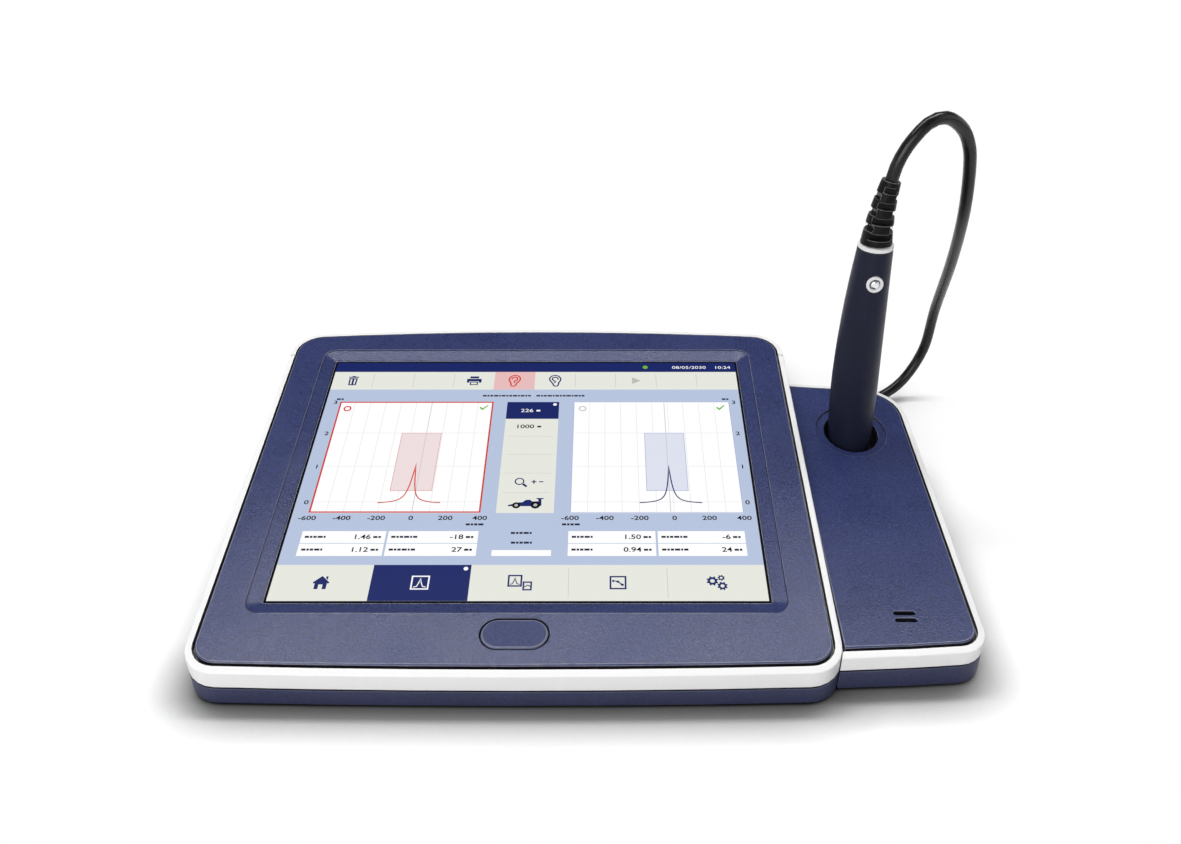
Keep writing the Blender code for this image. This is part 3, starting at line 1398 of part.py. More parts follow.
def make_probe_button(probe):
    """The small domed button, with its origin on its own axis."""
    front = -PROBE_BUTTON_PROUD
    dome = PROBE_BUTTON_PROUD / 2
    length = POCKET_Y - CORE_FRONT - PROBE_BUTTON_TRAVEL - GAP - button_face_y()
    crown, shoulder = PROBE_BUTTON_DOME_SHARES
    stem = PROBE_BUTTON_RADIUS * PROBE_BUTTON_STEM_SHARE
    profile = [
        (PROBE_BUTTON_RADIUS * crown, front),
        (PROBE_BUTTON_RADIUS * shoulder, front + dome / 2),
        (PROBE_BUTTON_RADIUS, front + dome),
        (PROBE_BUTTON_RADIUS, PROBE_WALL),
        (stem, PROBE_WALL + dome),
        (stem, length),
    ]
    button = turned("probe_button", profile, along_y(0, 0, 0), SMALL_SIDES)
    button.location = (probe_axis_x(PROBE_BUTTON_HEIGHT), button_face_y(), PROBE_BUTTON_HEIGHT)
    return place(button, GREY, 0.25, 0.9, parent=probe)


def make_probe_core(probe):
    """The transducer block inside the handle, cut back where the button's switch stands."""
    fit = PROBE_WALL + GAP
    heights = probe_heights(CORE_BOTTOM, CORE_TOP, 4)
    core = skin("probe_core", [probe_loop(height, fit) for height in heights])
    place(core, GREY, 0.5, parent=probe)
    reach = PROBE_MAX_RADIUS + OVERRUN
    shelf = block(
        "core_shelf",
        (PROBE_X - reach, POCKET_Y - 2 * reach, CORE_SHELF),
        (PROBE_X + reach, POCKET_Y - CORE_FRONT, CORE_TOP + OVERRUN),
    )
    shelf.parent = probe
    return cut(core, shelf)


def make_probe_nose(probe):
    """The nose cone under the handle, with a spigot inside the handle's lower mouth."""
    spigot = probe_radius(PROBE_BOTTOM) - PROBE_WALL - GAP
    flange = PROBE_BOTTOM - GAP
    x = probe_axis_x(PROBE_BOTTOM)
    nose = [
        (NOSE_END_RADIUS, flange - NOSE_LENGTH),
        (NOSE_RADIUS, flange),
        (spigot, flange),
        (spigot, flange + NOSE_SPIGOT),
    ]
    loops = [ellipse(x, POCKET_Y, r, r * PROBE_DEPTH_RATIO, z) for r, z in nose]
    return place(skin("probe_nose", loops), DARK_NAVY, 0.4, parent=probe)


def make_probe_tip(probe):
    """The tip that carries the ear tip, with the mouth of its sound and air channel."""
    top = PROBE_BOTTOM - NOSE_LENGTH - 2 * GAP
    low = top - TIP_LENGTH
    x = probe_axis_x(PROBE_BOTTOM)
    profile = [
        (TIP_BORE_RADIUS, low + TIP_LENGTH / 2),
        (TIP_BORE_RADIUS, low),
        (TIP_END_RADIUS, low),
        (TIP_RADIUS, low + TIP_LENGTH / 3),
        (TIP_RADIUS, top),
    ]
    tip = turned("probe_tip", profile, upright(x, POCKET_Y), SMALL_SIDES)
    return place(tip, WHITE, 0.35, parent=probe)


def make_end_ring(probe):
    low = PROBE_TOP + GAP
    high = low + RING_THICKNESS
    outer = PROBE_TOP_RADIUS + RING_PROUD
    inner = RELIEF_BOTTOM_RADIUS - PROBE_WALL
    x = probe_axis_x(PROBE_TOP)
    loops = []
    for radius, height in ((outer, low), (outer, high), (inner, high), (inner, low)):
        loops.append(ellipse(x, POCKET_Y, radius, radius * PROBE_DEPTH_RATIO, height))
    return place(skin("probe_end_ring", loops, closed=True), WHITE, 0.3, parent=probe)


def relief_base():
    return PROBE_TOP + 2 * GAP + RING_THICKNESS


def relief_place(height):
    """Where the strain relief's section at a height lies: the sleeve curves over to the right."""
    share = height / RELIEF_HEIGHT
    x = probe_axis_x(PROBE_TOP) + RELIEF_LEAN * share**2
    tilt = math.atan(2 * RELIEF_LEAN * share / RELIEF_HEIGHT)
    return Matrix.Translation((x, POCKET_Y, relief_base() + height)) @ Matrix.Rotation(tilt, 4, "Y")


def relief_radius(height):
    return RELIEF_BOTTOM_RADIUS + (RELIEF_TOP_RADIUS - RELIEF_BOTTOM_RADIUS) * height / RELIEF_HEIGHT


def make_strain_relief(probe):
    """A tapered sleeve whose slots alternate front and back with left and right."""
    base = relief_base()
    neck = RELIEF_BOTTOM_RADIUS - PROBE_WALL - GAP
    x = probe_axis_x(PROBE_TOP)
    loops = [
        ellipse(x, POCKET_Y, neck, neck * PROBE_DEPTH_RATIO, base - GAP - RING_THICKNESS),
        ellipse(x, POCKET_Y, neck, neck * PROBE_DEPTH_RATIO, base),
    ]
    for i in range(RELIEF_SLOTS + 1):
        height = RELIEF_HEIGHT * i / RELIEF_SLOTS
        radius = relief_radius(height)
        loops.append([relief_place(height) @ p for p in ellipse(0, 0, radius, radius, 0)])
    relief = place(skin("probe_strain_relief", loops), BLACK, 0.5, parent=probe)
    for i in range(RELIEF_SLOTS):
        cut_relief_slots(relief, i, RELIEF_FIRST_SLOT + RELIEF_SLOT_STEP * i)
    return relief


def cut_relief_slots(relief, number, height):
    """A pair of slots on both sides of the sleeve's core, in the section at this height."""
    core = CORD_RADIUS + RELIEF_CORE
    reach = RELIEF_BOTTOM_RADIUS + OVERRUN
    half = relief_radius(height) * RELIEF_SLOT_SHARE
    thick = RELIEF_SLOT_HEIGHT / 2
    for side in (-1, 1):
        near, far = sorted((side * core, side * reach))
        if number % 2 == 0:
            corners = ((-half, near, -thick), (half, far, thick))
        else:
            corners = ((near, -half, -thick), (far, half, thick))
        slot = block(f"relief_slot_{number + 1}_{'a' if side < 0 else 'b'}", *corners)
        slot.matrix_local = relief_place(height)
        slot.parent = relief.parent
        cut(relief, slot)


def straight_end(points, length):
    """The point that carries a bent line straight on past its first point."""
    first, second, third = points[:3]
    onward = 3 * (first - second) - (second - third)
    return first + onward.normalized() * length


def coil_points():
    """The coil's centre line: in by a layer, up in the turning half loop, and out again."""
    layer_turns = (COIL_TURNS - COIL_CLIMB_TURNS) / 2
    layer_step = 2 * CORD_RADIUS + COIL_LAYER_GAP
    inner = COIL_OUTER_RADIUS - COIL_PITCH * layer_turns
    count = round(COIL_TURNS * COIL_POINTS)
    points = []
    for i in range(count + 1):
        turns = COIL_TURNS * i / count
        if turns < layer_turns:
            radius = COIL_OUTER_RADIUS - COIL_PITCH * turns
            height = 0.0
        elif turns < layer_turns + COIL_CLIMB_TURNS:
            climb = (turns - layer_turns) / COIL_CLIMB_TURNS
            radius = inner - COIL_PITCH * COIL_CLIMB_TURNS * climb * (1 - climb)
            height = layer_step * (3 - 2 * climb) * climb**2
        else:
            radius = inner + COIL_PITCH * (turns - layer_turns - COIL_CLIMB_TURNS)
            height = layer_step
        angle = -math.pi / 2 - 2 * math.pi * turns
        x = COIL_X + radius * math.cos(angle)
        y = COIL_Y + radius * math.sin(angle)
        points.append(Vector((x, y, CORD_RADIUS + height)))
    return [straight_end(points, COIL_LEAD)] + points + [straight_end(points[::-1], 2 * CORD_RADIUS)]


def least_gap(points):
    """The least clear distance between stretches of a tube that are not neighbours."""
    apart = COIL_POINTS // 3
    least = min((a - b).length for i, a in enumerate(points) for b in points[i + apart:])
    return least - 2 * CORD_RADIUS


def route(x, y, places):
    return [Vector((x + across, y + back, height)) for across, back, height in places]


def make_cord(probe):
    """The cord in its three nodes: from the probe down, the coil on the table and the tail."""
    coil = coil_points()
    print(f"Least gap of the coil to itself: {1000 * least_gap(coil):.2f} mm")
    place(tube("cord_coil", coil, CORD_RADIUS, 1), BLACK, 0.35)
    into = (coil[0] - coil[1]).normalized()
    meet = coil[0] + into * GAP
    mouth = relief_place(RELIEF_HEIGHT)
    start = mouth @ Vector((0, 0, GAP))
    lead = mouth.to_3x3() @ Vector((0, 0, 2 * CORD_RADIUS))
    landing = [meet + into * 2 * CORD_RADIUS, meet]
    bow = route(POCKET_X, POCKET_Y, CORD_BOW)
    fall = route(CONSOLE_RIGHT, REAR_WALL_Y, CORD_FALL)
    points = smooth_points([start, start + lead] + bow + fall + landing, CORD_STEP)
    place(tube("probe_cord", points, CORD_RADIUS, 2), BLACK, 0.35, parent=probe)
    out = (coil[-1] - coil[-2]).normalized()
    leave = coil[-1] + out * GAP
    boot_end = Vector((SOCKET_X, boot_end_y() + GAP, SOCKET_HEIGHT))
    lead = Vector((0, 2 * CORD_RADIUS, 0))
    leaving = [leave, leave + out * 2 * CORD_RADIUS]
    trail = route(CONSOLE_RIGHT, REAR_WALL_Y, CORD_TAIL)
    points = smooth_points(leaving + trail + [boot_end + lead, boot_end], CORD_STEP)
    place(tube("cord_tail", points, CORD_RADIUS, 2), BLACK, 0.35)


def plug_face_y():
    return rear_face_y(SOCKET_X) + GAP


def boot_end_y():
    return plug_face_y() + PLUG_LENGTH + GAP + BOOT_LENGTH


def make_probe_plug():
    """The cord's plug in the rear socket, and the ribbed boot behind it."""
    edge = PLUG_RADIUS / 6
    profile = [
        (PLUG_BARREL_RADIUS, -PLUG_BARREL_LENGTH),
        (PLUG_BARREL_RADIUS, 0),
        (PLUG_RADIUS, 0),
        (PLUG_RADIUS, PLUG_LENGTH - 2 * edge),
        (PLUG_RADIUS - edge, PLUG_LENGTH),
    ]
    where = along_y(SOCKET_X, plug_face_y(), SOCKET_HEIGHT)
    place(turned("probe_plug", profile, where, ROUND_SIDES), BLACK, 0.45)
    ribs = []
    pitch = BOOT_LENGTH / BOOT_RIBS
    for i in range(BOOT_RIBS):
        radius = BOOT_RADIUS + (CORD_RADIUS + RELIEF_CORE - BOOT_RADIUS) * i / BOOT_RIBS
        start = pitch * i
        ribs += [(radius, start), (radius, start + pitch * BOOT_RIB_SHARE)]
        ribs += [(CORD_RADIUS, start + pitch * BOOT_GROOVE_SHARE), (CORD_RADIUS, start + pitch)]
    where = along_y(SOCKET_X, plug_face_y() + PLUG_LENGTH + GAP, SOCKET_HEIGHT)
    place(turned("plug_boot", ribs, where, SMALL_SIDES), BLACK, 0.5)


def make_feet_and_screws():
    for i, (x, y) in enumerate(foot_places()):
        make_foot(f"foot_{i + 1}", x, y, FOOT_RADIUS)
    for i, (x, y) in enumerate(dock_foot_places()):
        make_foot(f"dock_foot_{i + 1}", x, y, DOCK_FOOT_RADIUS)
    for i, (x, y) in enumerate(screw_places()):
        make_screw(f"case_screw_{i + 1}", upright(x, y, BASE_CLEARANCE))
    start = CONSOLE_RIGHT - BASE_WALL - GAP - SCREW_HEAD_HEIGHT
    for i, y in enumerate(link_screw_places()):
        make_screw(f"dock_screw_{i + 1}", along_x(start, y, LINK_SCREW_HEIGHT))


def main():
    clear_scene()
    origin = bpy.data.objects.new("product_origin", None)
    origin.location = (-MIDDLE_X, -MIDDLE_Y, 0)
    bpy.context.collection.objects.link(origin)
    probe = bpy.data.objects.new("probe_origin", None)
    probe.parent = origin
    bpy.context.collection.objects.link(probe)
    make_base_pan()
    make_trim_frame()
    make_rear_cover()
    make_front_panel()
    make_screen_stack()
    make_power_button()
    make_switch_board()
    make_main_board()
    make_heat_spreader()
    make_power_inlet()
    make_usb_port()
    make_probe_socket()
    make_pump_bracket()
    make_pump_motor()
    make_pump_screw()
    make_pump_cylinder()
    make_pump_piston()
    make_valve_block()
    make_air_tube()
    make_dock_base()
    make_dock_frame()
    make_dock_plate()
    make_probe_cup()
    make_dock_speaker()
    make_feet_and_screws()
    make_probe_handle(probe)
    make_button_bezel(probe)
    make_probe_button(probe)
    make_probe_core(probe)
    make_probe_nose(probe)
    make_probe_tip(probe)
    make_end_ring(probe)
    make_strain_relief(probe)
    make_cord(probe)
    make_probe_plug()


main()
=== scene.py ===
"""Finishes the frame of a desktop tympanometer and sets it on a plain studio floor.

Metres, in the frame's own axes: +X to the right, +Y away from the user, +Z up. The screen's
picture is laid out in millimetres from its lower left corner, as it is seen from the front.
"""
import math
from contextlib import contextmanager

import bmesh
import bpy
from bpy.props import FloatProperty, FloatVectorProperty, IntProperty, PointerProperty
from mathutils import Matrix, Vector


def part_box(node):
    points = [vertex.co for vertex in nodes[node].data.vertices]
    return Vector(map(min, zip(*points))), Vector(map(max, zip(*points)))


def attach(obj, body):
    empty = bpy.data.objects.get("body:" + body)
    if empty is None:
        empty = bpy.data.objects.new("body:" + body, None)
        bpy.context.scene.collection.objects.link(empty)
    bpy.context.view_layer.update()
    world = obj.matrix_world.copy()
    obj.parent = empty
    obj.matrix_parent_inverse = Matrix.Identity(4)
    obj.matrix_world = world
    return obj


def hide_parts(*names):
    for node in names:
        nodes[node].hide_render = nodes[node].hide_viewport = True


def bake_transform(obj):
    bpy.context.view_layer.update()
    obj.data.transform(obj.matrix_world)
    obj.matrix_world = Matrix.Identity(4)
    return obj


bl_info = {
    "name": "Tympanometer",
    "version": (1, 0, 0),
    "blender": (4, 5, 0),
    "location": "3D View > Sidebar > Tympanometer",
    "description": "Finishes a desktop tympanometer's frame and sets it on a studio floor",
    "category": "Object",
}

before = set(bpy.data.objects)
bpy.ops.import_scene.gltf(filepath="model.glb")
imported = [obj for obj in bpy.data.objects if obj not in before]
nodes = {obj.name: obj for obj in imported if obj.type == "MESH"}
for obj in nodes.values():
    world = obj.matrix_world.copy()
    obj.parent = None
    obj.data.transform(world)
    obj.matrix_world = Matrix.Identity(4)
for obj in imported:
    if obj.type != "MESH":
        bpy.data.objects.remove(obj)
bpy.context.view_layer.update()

MM = 0.001
SLOPE = math.radians(10.52)


def tone(red, green, blue):
    """A colour picked as 0 to 255 on a display, as the linear values that materials hold."""
    shares = [value / 255 for value in (red, green, blue)]
    return tuple(s / 12.92 if s <= 0.04045 else ((s + 0.055) / 1.055) ** 2.4 for s in shares)


def colour_choice(name, description, default):
    return FloatVectorProperty(
        name=name, description=description, subtype="COLOR", size=3, min=0, max=1, default=default
    )


# What a user would change

class CaseChoices(bpy.types.PropertyGroup):
    plate: colour_choice("Plates", "Navy of the two top plates and the oval key", tone(43, 52, 95))
    tub: colour_choice("Tubs", "Navy of the tubs under the trim", tone(52, 56, 84))
    trim: colour_choice("Trim", "White of the trim bands and the rear cover", tone(232, 232, 232))
    shell: colour_choice("Probe", "Dark navy of the hand probe", tone(27, 30, 48))
    grain: FloatProperty(
        name="Grain size", description="Size of the moulded grain", default=0.0008, unit="LENGTH"
    )


class ScreenChoices(bpy.types.PropertyGroup):
    ink: colour_choice("Ink", "Dark navy of bars, buttons and icons", tone(27, 40, 104))
    paper: colour_choice("Paper", "Pale tone of the tool bars", tone(234, 236, 227))
    field: colour_choice("Field", "Light blue behind the graphs", tone(187, 200, 226))
    chosen: colour_choice("Chosen", "Pink of the chosen side", tone(236, 192, 192))
    right_side: colour_choice("Right side", "Red of the right side's graph", tone(214, 60, 48))
    glow: FloatProperty(name="Glow", description="Light given off by the picture", default=0.9, min=0)
    sheet: FloatProperty(
        name="Layer", description="Thickness of each printed layer", default=0.00003, unit="LENGTH"
    )


class CordChoices(bpy.types.PropertyGroup):
    diameter: FloatProperty(
        name="Diameter", description="Diameter of the cord", default=0.0058, unit="LENGTH"
    )
    jacket: colour_choice("Jacket", "Colour of the cord's jacket", tone(14, 14, 16))
    sides: IntProperty(name="Roundness", description="Bevel resolution of the cord", default=5, min=2)


class StageChoices(bpy.types.PropertyGroup):
    floor: colour_choice("Floor", "Colour of the floor", (1.0, 1.0, 1.0))
    sky: FloatProperty(name="Surroundings", description="Soft light from all round", default=0.15, min=0)
    ceiling: FloatProperty(
        name="Ceiling", description="Brightness overhead, as glossy surfaces show it", default=0.10, min=0
    )
    overhead: FloatProperty(
        name="Overhead", description="Power of the lamp above", default=13.0, unit="POWER"
    )
    front: FloatProperty(name="Front", description="Power of the lamp in front", default=15.4, unit="POWER")
    side: FloatProperty(name="Side", description="Power of the lamp at the right", default=1.8, unit="POWER")


# Handling of pieces

WELD = 0.000004
FLAT_ANGLE = math.radians(0.4)
SHARP_ANGLE = math.radians(32)
EDGE_MARK = "edge"
EDGE_SLOT = 1
# Faces in this slot are painted nearly black: painted shade in gaps, slots, windows and under the trim.
PAINTED_SHADE_SLOT = 2


def set_all(thing, **values):
    for key, value in values.items():
        setattr(thing, key, value)


def only(piece):
    bpy.ops.object.select_all(action="DESELECT")
    piece.select_set(True)
    bpy.context.view_layer.objects.active = piece


def added(name, data):
    """A new object with its mesh or curve, selected alone."""
    piece = bpy.data.objects.new(name, data)
    bpy.context.collection.objects.link(piece)
    only(piece)
    return piece


@contextmanager
def mesh_of(piece):
    """The piece's mesh, open for changes to its points and faces and written back at the end."""
    shape = bmesh.new()
    shape.from_mesh(piece.data)
    yield shape
    shape.to_mesh(piece.data)
    shape.free()


def drawn(name, lines, closed=False, **values):
    """A curve through the points of each line, with the curve's values, made a mesh."""
    curve = bpy.data.curves.new(name, "CURVE")
    set_all(curve, **values)
    for points in lines:
        spline = curve.splines.new("POLY")
        spline.points.add(len(points) - 1)
        for knot, point in zip(spline.points, points):
            knot.co = (*point, 0)[:3] + (1,)
        spline.use_cyclic_u = closed
    added(name, curve)
    bpy.ops.object.convert(target="MESH")
    return bpy.context.object


def paint(piece, material):
    piece.data.materials.clear()
    piece.data.materials.append(bpy.data.materials[material])


def settle(piece, body, slot, material, *replaced):
    """Gives a finished piece its material and its body, and hides the nodes that it stands for."""
    paint(piece, material)
    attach(piece, body)
    if replaced:
        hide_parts(*replaced)


def add_modifier(piece, kind, **values):
    modifier = piece.modifiers.new(kind.title(), kind)
    set_all(modifier, **values)
    only(piece)
    bpy.ops.object.modifier_apply(modifier=modifier.name)


def merged_copy(name, node):
    """A copy of a node's mesh with its triangles merged into whole faces."""
    piece = added(name, nodes[node].data.copy())
    bpy.ops.object.mode_set(mode="EDIT")
    bpy.ops.mesh.select_all(action="SELECT")
    bpy.ops.mesh.remove_doubles(threshold=WELD)
    bpy.ops.mesh.customdata_custom_splitnormals_clear()
    bpy.ops.mesh.dissolve_limited(angle_limit=FLAT_ANGLE)
    bpy.ops.object.mode_set(mode="OBJECT")
    return piece


def mark_edges(piece):
    """Marks the rounded edges, 1 outside and -1 in an inner corner, and the seams' walls and the other faces
    given painted shade with -2.
    """
    with mesh_of(piece) as shape:
        marks = shape.faces.layers.float.new(EDGE_MARK)
        for face in shape.faces:
            if face.material_index == PAINTED_SHADE_SLOT:
                face[marks] = -2.0
            elif face.material_index == EDGE_SLOT:
                middle = face.calc_center_median()
                flat = [other for edge in face.edges for other in edge.link_faces]
                beside = [other.calc_center_median() for other in flat if other.material_index != EDGE_SLOT]
                rise = sum((point - middle).dot(face.normal) for point in beside)
                face[marks] = -1.0 if rise > 0 else 1.0
        for face in shape.faces:
            face.material_index = 0


def finished_copy(name, node, edge, angle=SHARP_ANGLE, shape=None):
    """A node's copy, shaped further where it needs it, with its sharper edges rounded and marked."""
    piece = merged_copy(name, node)
    piece.data.materials.clear()
    for _ in range(3):
        piece.data.materials.append(None)
    if shape:
        shape(piece)
    add_modifier(
        piece, "BEVEL", width=edge, segments=2, limit_method="ANGLE", material=EDGE_SLOT,
        angle_limit=angle, use_clamp_overlap=False, miter_outer="MITER_ARC",
    )
    mark_edges(piece)
    only(piece)
    bpy.ops.object.shade_smooth_by_angle(angle=angle)
    add_modifier(piece, "WEIGHTED_NORMAL", weight=100, keep_sharp=True)
    return piece


def faces_where(piece, wanted):
    """Selects the faces of the piece that fit, in edit mode, and says how many they are."""
    if piece.mode != "EDIT":
        only(piece)
        bpy.ops.object.mode_set(mode="EDIT")
    bpy.ops.mesh.select_mode(type="FACE")
    shape = bmesh.from_edit_mesh(piece.data)
    shape.normal_update()
    for face in shape.faces:
        face.select_set(bool(wanted(face)))
    bmesh.update_edit_mesh(piece.data)
    return sum(face.select for face in shape.faces)


def into_seam(piece):
    """Puts the selected faces among the faces painted nearly black as painted shade, like the seams' walls.
    """
    piece.active_material_index = PAINTED_SHADE_SLOT
    bpy.ops.object.material_slot_assign()


# The trim's seams, its joint to the rear cover and its foot

WALL_RISE = 0.1
LYING_RISE = 0.7
FACING = 0.9
SEAM_OPENING = 0.0005
SEAM_DROP = 0.0005
JOINT_HALF = 0.00015
JOINT_REACH = 0.0004
JOINT_OPENING = 0.0002
CONSOLE_REACH = 0.0019
DOCK_REACH = 0.0009
CASE_CORNER = 0.01557
CORNER_STRIP = 0.0007


def seat_wall(face):
    """An upright wall between two faces that look up: where a trim holds its plate."""
    if abs(face.normal.z) > WALL_RISE:
        return False
    beside = [other.normal.z for edge in face.edges for other in edge.link_faces if other != face]
    lying = [z for z in beside if abs(z) > LYING_RISE]
    return len(lying) > 1 and min(lying) > 0


def seat_ledge(face):
    """The ledge at the foot of a seat wall, under the plate."""
    if face.normal.z < LYING_RISE:
        return False
    level = face.calc_center_median().z
    beside = [other for edge in face.edges for other in edge.link_faces]
    return any(seat_wall(other) and other.calc_center_median().z > level for other in beside)


def foot_face(face):
    """A face that looks down and that no wall goes on under."""
    if face.normal.z > -FACING:
        return False
    for edge in face.edges:
        height = (edge.verts[0].co.z + edge.verts[1].co.z) / 2
        for other in edge.link_faces:
            if abs(other.normal.z) < WALL_RISE and other.calc_center_median().z < height:
                return False
    return True


def joint_face(face):
    """An end of the side trim or of the rear cover, where the two meet."""
    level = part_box("trim_frame")[1].y + JOINT_HALF
    return abs(face.normal.y) > FACING and abs(face.calc_center_median().y - level) < JOINT_REACH


def open_seams(piece, reach=0.0):
    """Widens a trim's seam to its plate and its joint, and lets its foot down by the reach; the seam's ledge
    and walls, the foot and the joint's ends get near-black painted shade.
    """
    # Painted shade: the ledge, the seat walls, the downward foot and the joint ends are painted nearly
    # black.
    faces_where(piece, seat_ledge)
    into_seam(piece)
    faces_where(piece, seat_wall)
    into_seam(piece)
    bpy.ops.transform.shrink_fatten(value=-SEAM_OPENING)
    bpy.ops.transform.translate(value=(0, 0, -SEAM_DROP))
    faces_where(piece, foot_face)
    into_seam(piece)
    bpy.ops.transform.translate(value=(0, 0, -reach))
    if faces_where(piece, joint_face):
        into_seam(piece)
        bpy.ops.transform.shrink_fatten(value=-JOINT_OPENING)
    bpy.ops.object.mode_set(mode="OBJECT")


def meet_console(piece):
    """Carries the dock's front left corner on to the console's rounded corner."""
    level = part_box("trim_frame")[0].y + CASE_CORNER
    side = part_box("dock_frame")[0].x + CORNER_STRIP
    for corner in piece.data.vertices:
        if corner.co.x < side and corner.co.y < level:
            corner.co.x -= CASE_CORNER - math.sqrt(CASE_CORNER**2 - (level - corner.co.y)**2)


def console_trim(piece):
    open_seams(piece, CONSOLE_REACH)


def dock_trim(piece):
    open_seams(piece, DOCK_REACH)
    meet_console(piece)


# The tubs' rims and feet

RIM_GAP = 0.0006
TUB_FOOT = 0.0020
TUB_ROUND = 0.0042
LOW_FOOT = 0.0006
LOW_ROUND = 0.0020
NEARLY = 0.001
DOWN = -0.98
BARELY_DOWN = -0.05


def lower_tub(piece, reach):
    """Lets a tub's rim down under its trim, with near-black painted shade on the rim, and its foot down to a
    tighter round at the table.
    """
    # Painted shade on the rim's top faces, in the gap under the trim.
    faces_where(piece, lambda face: face.normal.y < -WALL_RISE and face.normal.z > FACING)
    into_seam(piece)
    bpy.ops.transform.translate(value=(0, 0, -reach - RIM_GAP))
    bpy.ops.object.mode_set(mode="OBJECT")
    with mesh_of(piece) as shape:
        moves = {}
        for corner in shape.verts:
            rise = min(1 - (corner.co.z - TUB_FOOT) / TUB_ROUND, 1)
            rounded = [face.normal for face in corner.link_faces if DOWN < face.normal.z < BARELY_DOWN]
            if rise < -NEARLY or not rounded and rise < 1 - NEARLY:
                continue
            way = sum(rounded, Vector())
            way.z = 0
            out = (TUB_ROUND - LOW_ROUND) * (1 - math.sqrt(1 - max(rise, 0)**2))
            moves[corner] = corner.co + way.normalized() * out
            moves[corner].z = LOW_FOOT + LOW_ROUND * (1 - max(rise, 0))
        for corner, place in moves.items():
            corner.co = place


def console_lower(piece):
    lower_tub(piece, CONSOLE_REACH)


def dock_lower(piece):
    lower_tub(piece, DOCK_REACH)
    meet_console(piece)


# The plates' rims, key hole and recess

PLATE_ANGLE = math.radians(16.5)
PLATE_WALL_RISE = 0.25
RIM_SLANT = 0.4
RIM_REACH = 0.0012
FRONT_INSET = 0.0008
SIDE_INSET = 0.00025
KEY_OPENING = 0.0003
SLOPE_STEEPEST = math.cos(math.radians(28))
SLOPE_FLATTEST = math.cos(math.radians(10))
STEP_WIDTH = 0.0006
STEP_DEPTH = 0.00025


def draw_in_rim(piece):
    """Draws a plate's outer wall and its chamfer in, away from the trim."""
    with mesh_of(piece) as shape:
        places = [corner.co.copy() for corner in shape.verts]
        ways = {}
        for face in shape.faces:
            way = Vector((face.normal.x, face.normal.y, 0))
            if way.length < RIM_SLANT:
                continue
            way.normalize()
            middle = face.calc_center_median()
            if max((place - middle).dot(way) for place in places) > RIM_REACH:
                continue
            for corner in face.verts:
                ways[corner] = ways.get(corner, Vector()) + way
        for corner, way in ways.items():
            way.normalize()
            corner.co -= way * (SIDE_INSET + (FRONT_INSET - SIDE_INSET) * max(-way.y, 0))


def plate_wall(face):
    return abs(face.normal.z) < PLATE_WALL_RISE


def key_wall(face):
    """An upright wall of the plate round the oval key."""
    low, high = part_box("power_button")
    place = face.calc_center_median()
    return plate_wall(face) and low.x < place.x < high.x and low.y < place.y < high.y


def recess_slope(face):
    level = Vector((0, -math.sin(SLOPE), math.cos(SLOPE)))
    return SLOPE_STEEPEST < face.normal.dot(level) < SLOPE_FLATTEST


def cut_recess(piece):
    """A plate's upright walls are its seams and get near-black painted shade, and the recess starts with a
    small step.
    """
    draw_in_rim(piece)
    faces_where(piece, plate_wall)
    # Painted shade on the plate's upright walls.
    into_seam(piece)
    if faces_where(piece, key_wall):
        bpy.ops.transform.shrink_fatten(value=-KEY_OPENING)
    if faces_where(piece, recess_slope):
        bpy.ops.mesh.inset(thickness=STEP_WIDTH, depth=-STEP_DEPTH, use_boundary=True)
    bpy.ops.object.mode_set(mode="OBJECT")


# The strain relief's windows

END_REACH = 0.004
END_RING = 0.003
ACROSS = 0.6
OUTER_SIDE = 0.25
WINDOW_GROWTH = 0.0007
SILL_SHARE = 0.4


def dark_windows(piece):
    """Gives the strain relief's windows and bore near-black painted shade, and makes the windows taller."""
    with mesh_of(piece) as shape:
        levels = sorted(corner.co.z for corner in shape.verts)
        ends = []
        for level in (levels[0], levels[-1]):
            near = [corner.co for corner in shape.verts if abs(corner.co.z - level) < END_REACH]
            ends.append(sum(near, Vector()) / len(near))
        length = (ends[1] - ends[0]).length
        along = (ends[1] - ends[0]).normalized()
        moves = {}
        for face in shape.faces:
            out = face.calc_center_median() - ends[0]
            height = out.dot(along)
            out -= along * height
            rise = face.normal.dot(along)
            # Painted shade: window walls and the bore are painted nearly black.
            if abs(rise) < ACROSS and face.normal.dot(out.normalized()) < OUTER_SIDE:
                face.material_index = PAINTED_SHADE_SLOT
            elif abs(rise) > ACROSS and END_RING < height < length - END_RING:
                face.material_index = PAINTED_SHADE_SLOT
                for corner in face.verts:
                    moves[corner] = -along * WINDOW_GROWTH * (1.0 if rise > 0 else -SILL_SHARE)
        for corner, move in moves.items():
            corner.co += move


# Shader nodes and the groups that several materials share

DRIFT_SHARE = 0.16
# Painted shade: the share of the near-black tone on marked walls, and the tone that inner corners and marked
# walls are darkened to.
SEAM_SHADE = 0.96
PAINTED_SHADE_TONE = (0.01, 0.01, 0.012)


def feed(tree, node, inputs):
    """Feeds a node's inputs by label or number, each with a link or a plain value."""
    for label, value in inputs.items():
        socket = node.inputs[label]
        if isinstance(value, bpy.types.NodeSocket):
            tree.links.new(value, socket)
        elif socket.type == "RGBA":
            socket.default_value = (*value, 1.0)
        else:
            socket.default_value = value


def add_node(tree, kind, inputs, **values):
    node = tree.nodes.new("ShaderNode" + kind)
    set_all(node, **values)
    feed(tree, node, inputs)
    return node


def object_place(tree):
    return tree.nodes.new("ShaderNodeTexCoord").outputs["Object"]


def noise(tree, place, scale, detail):
    return add_node(tree, "TexNoise", {"Vector": place, "Scale": scale, "Detail": detail}).outputs["Fac"]


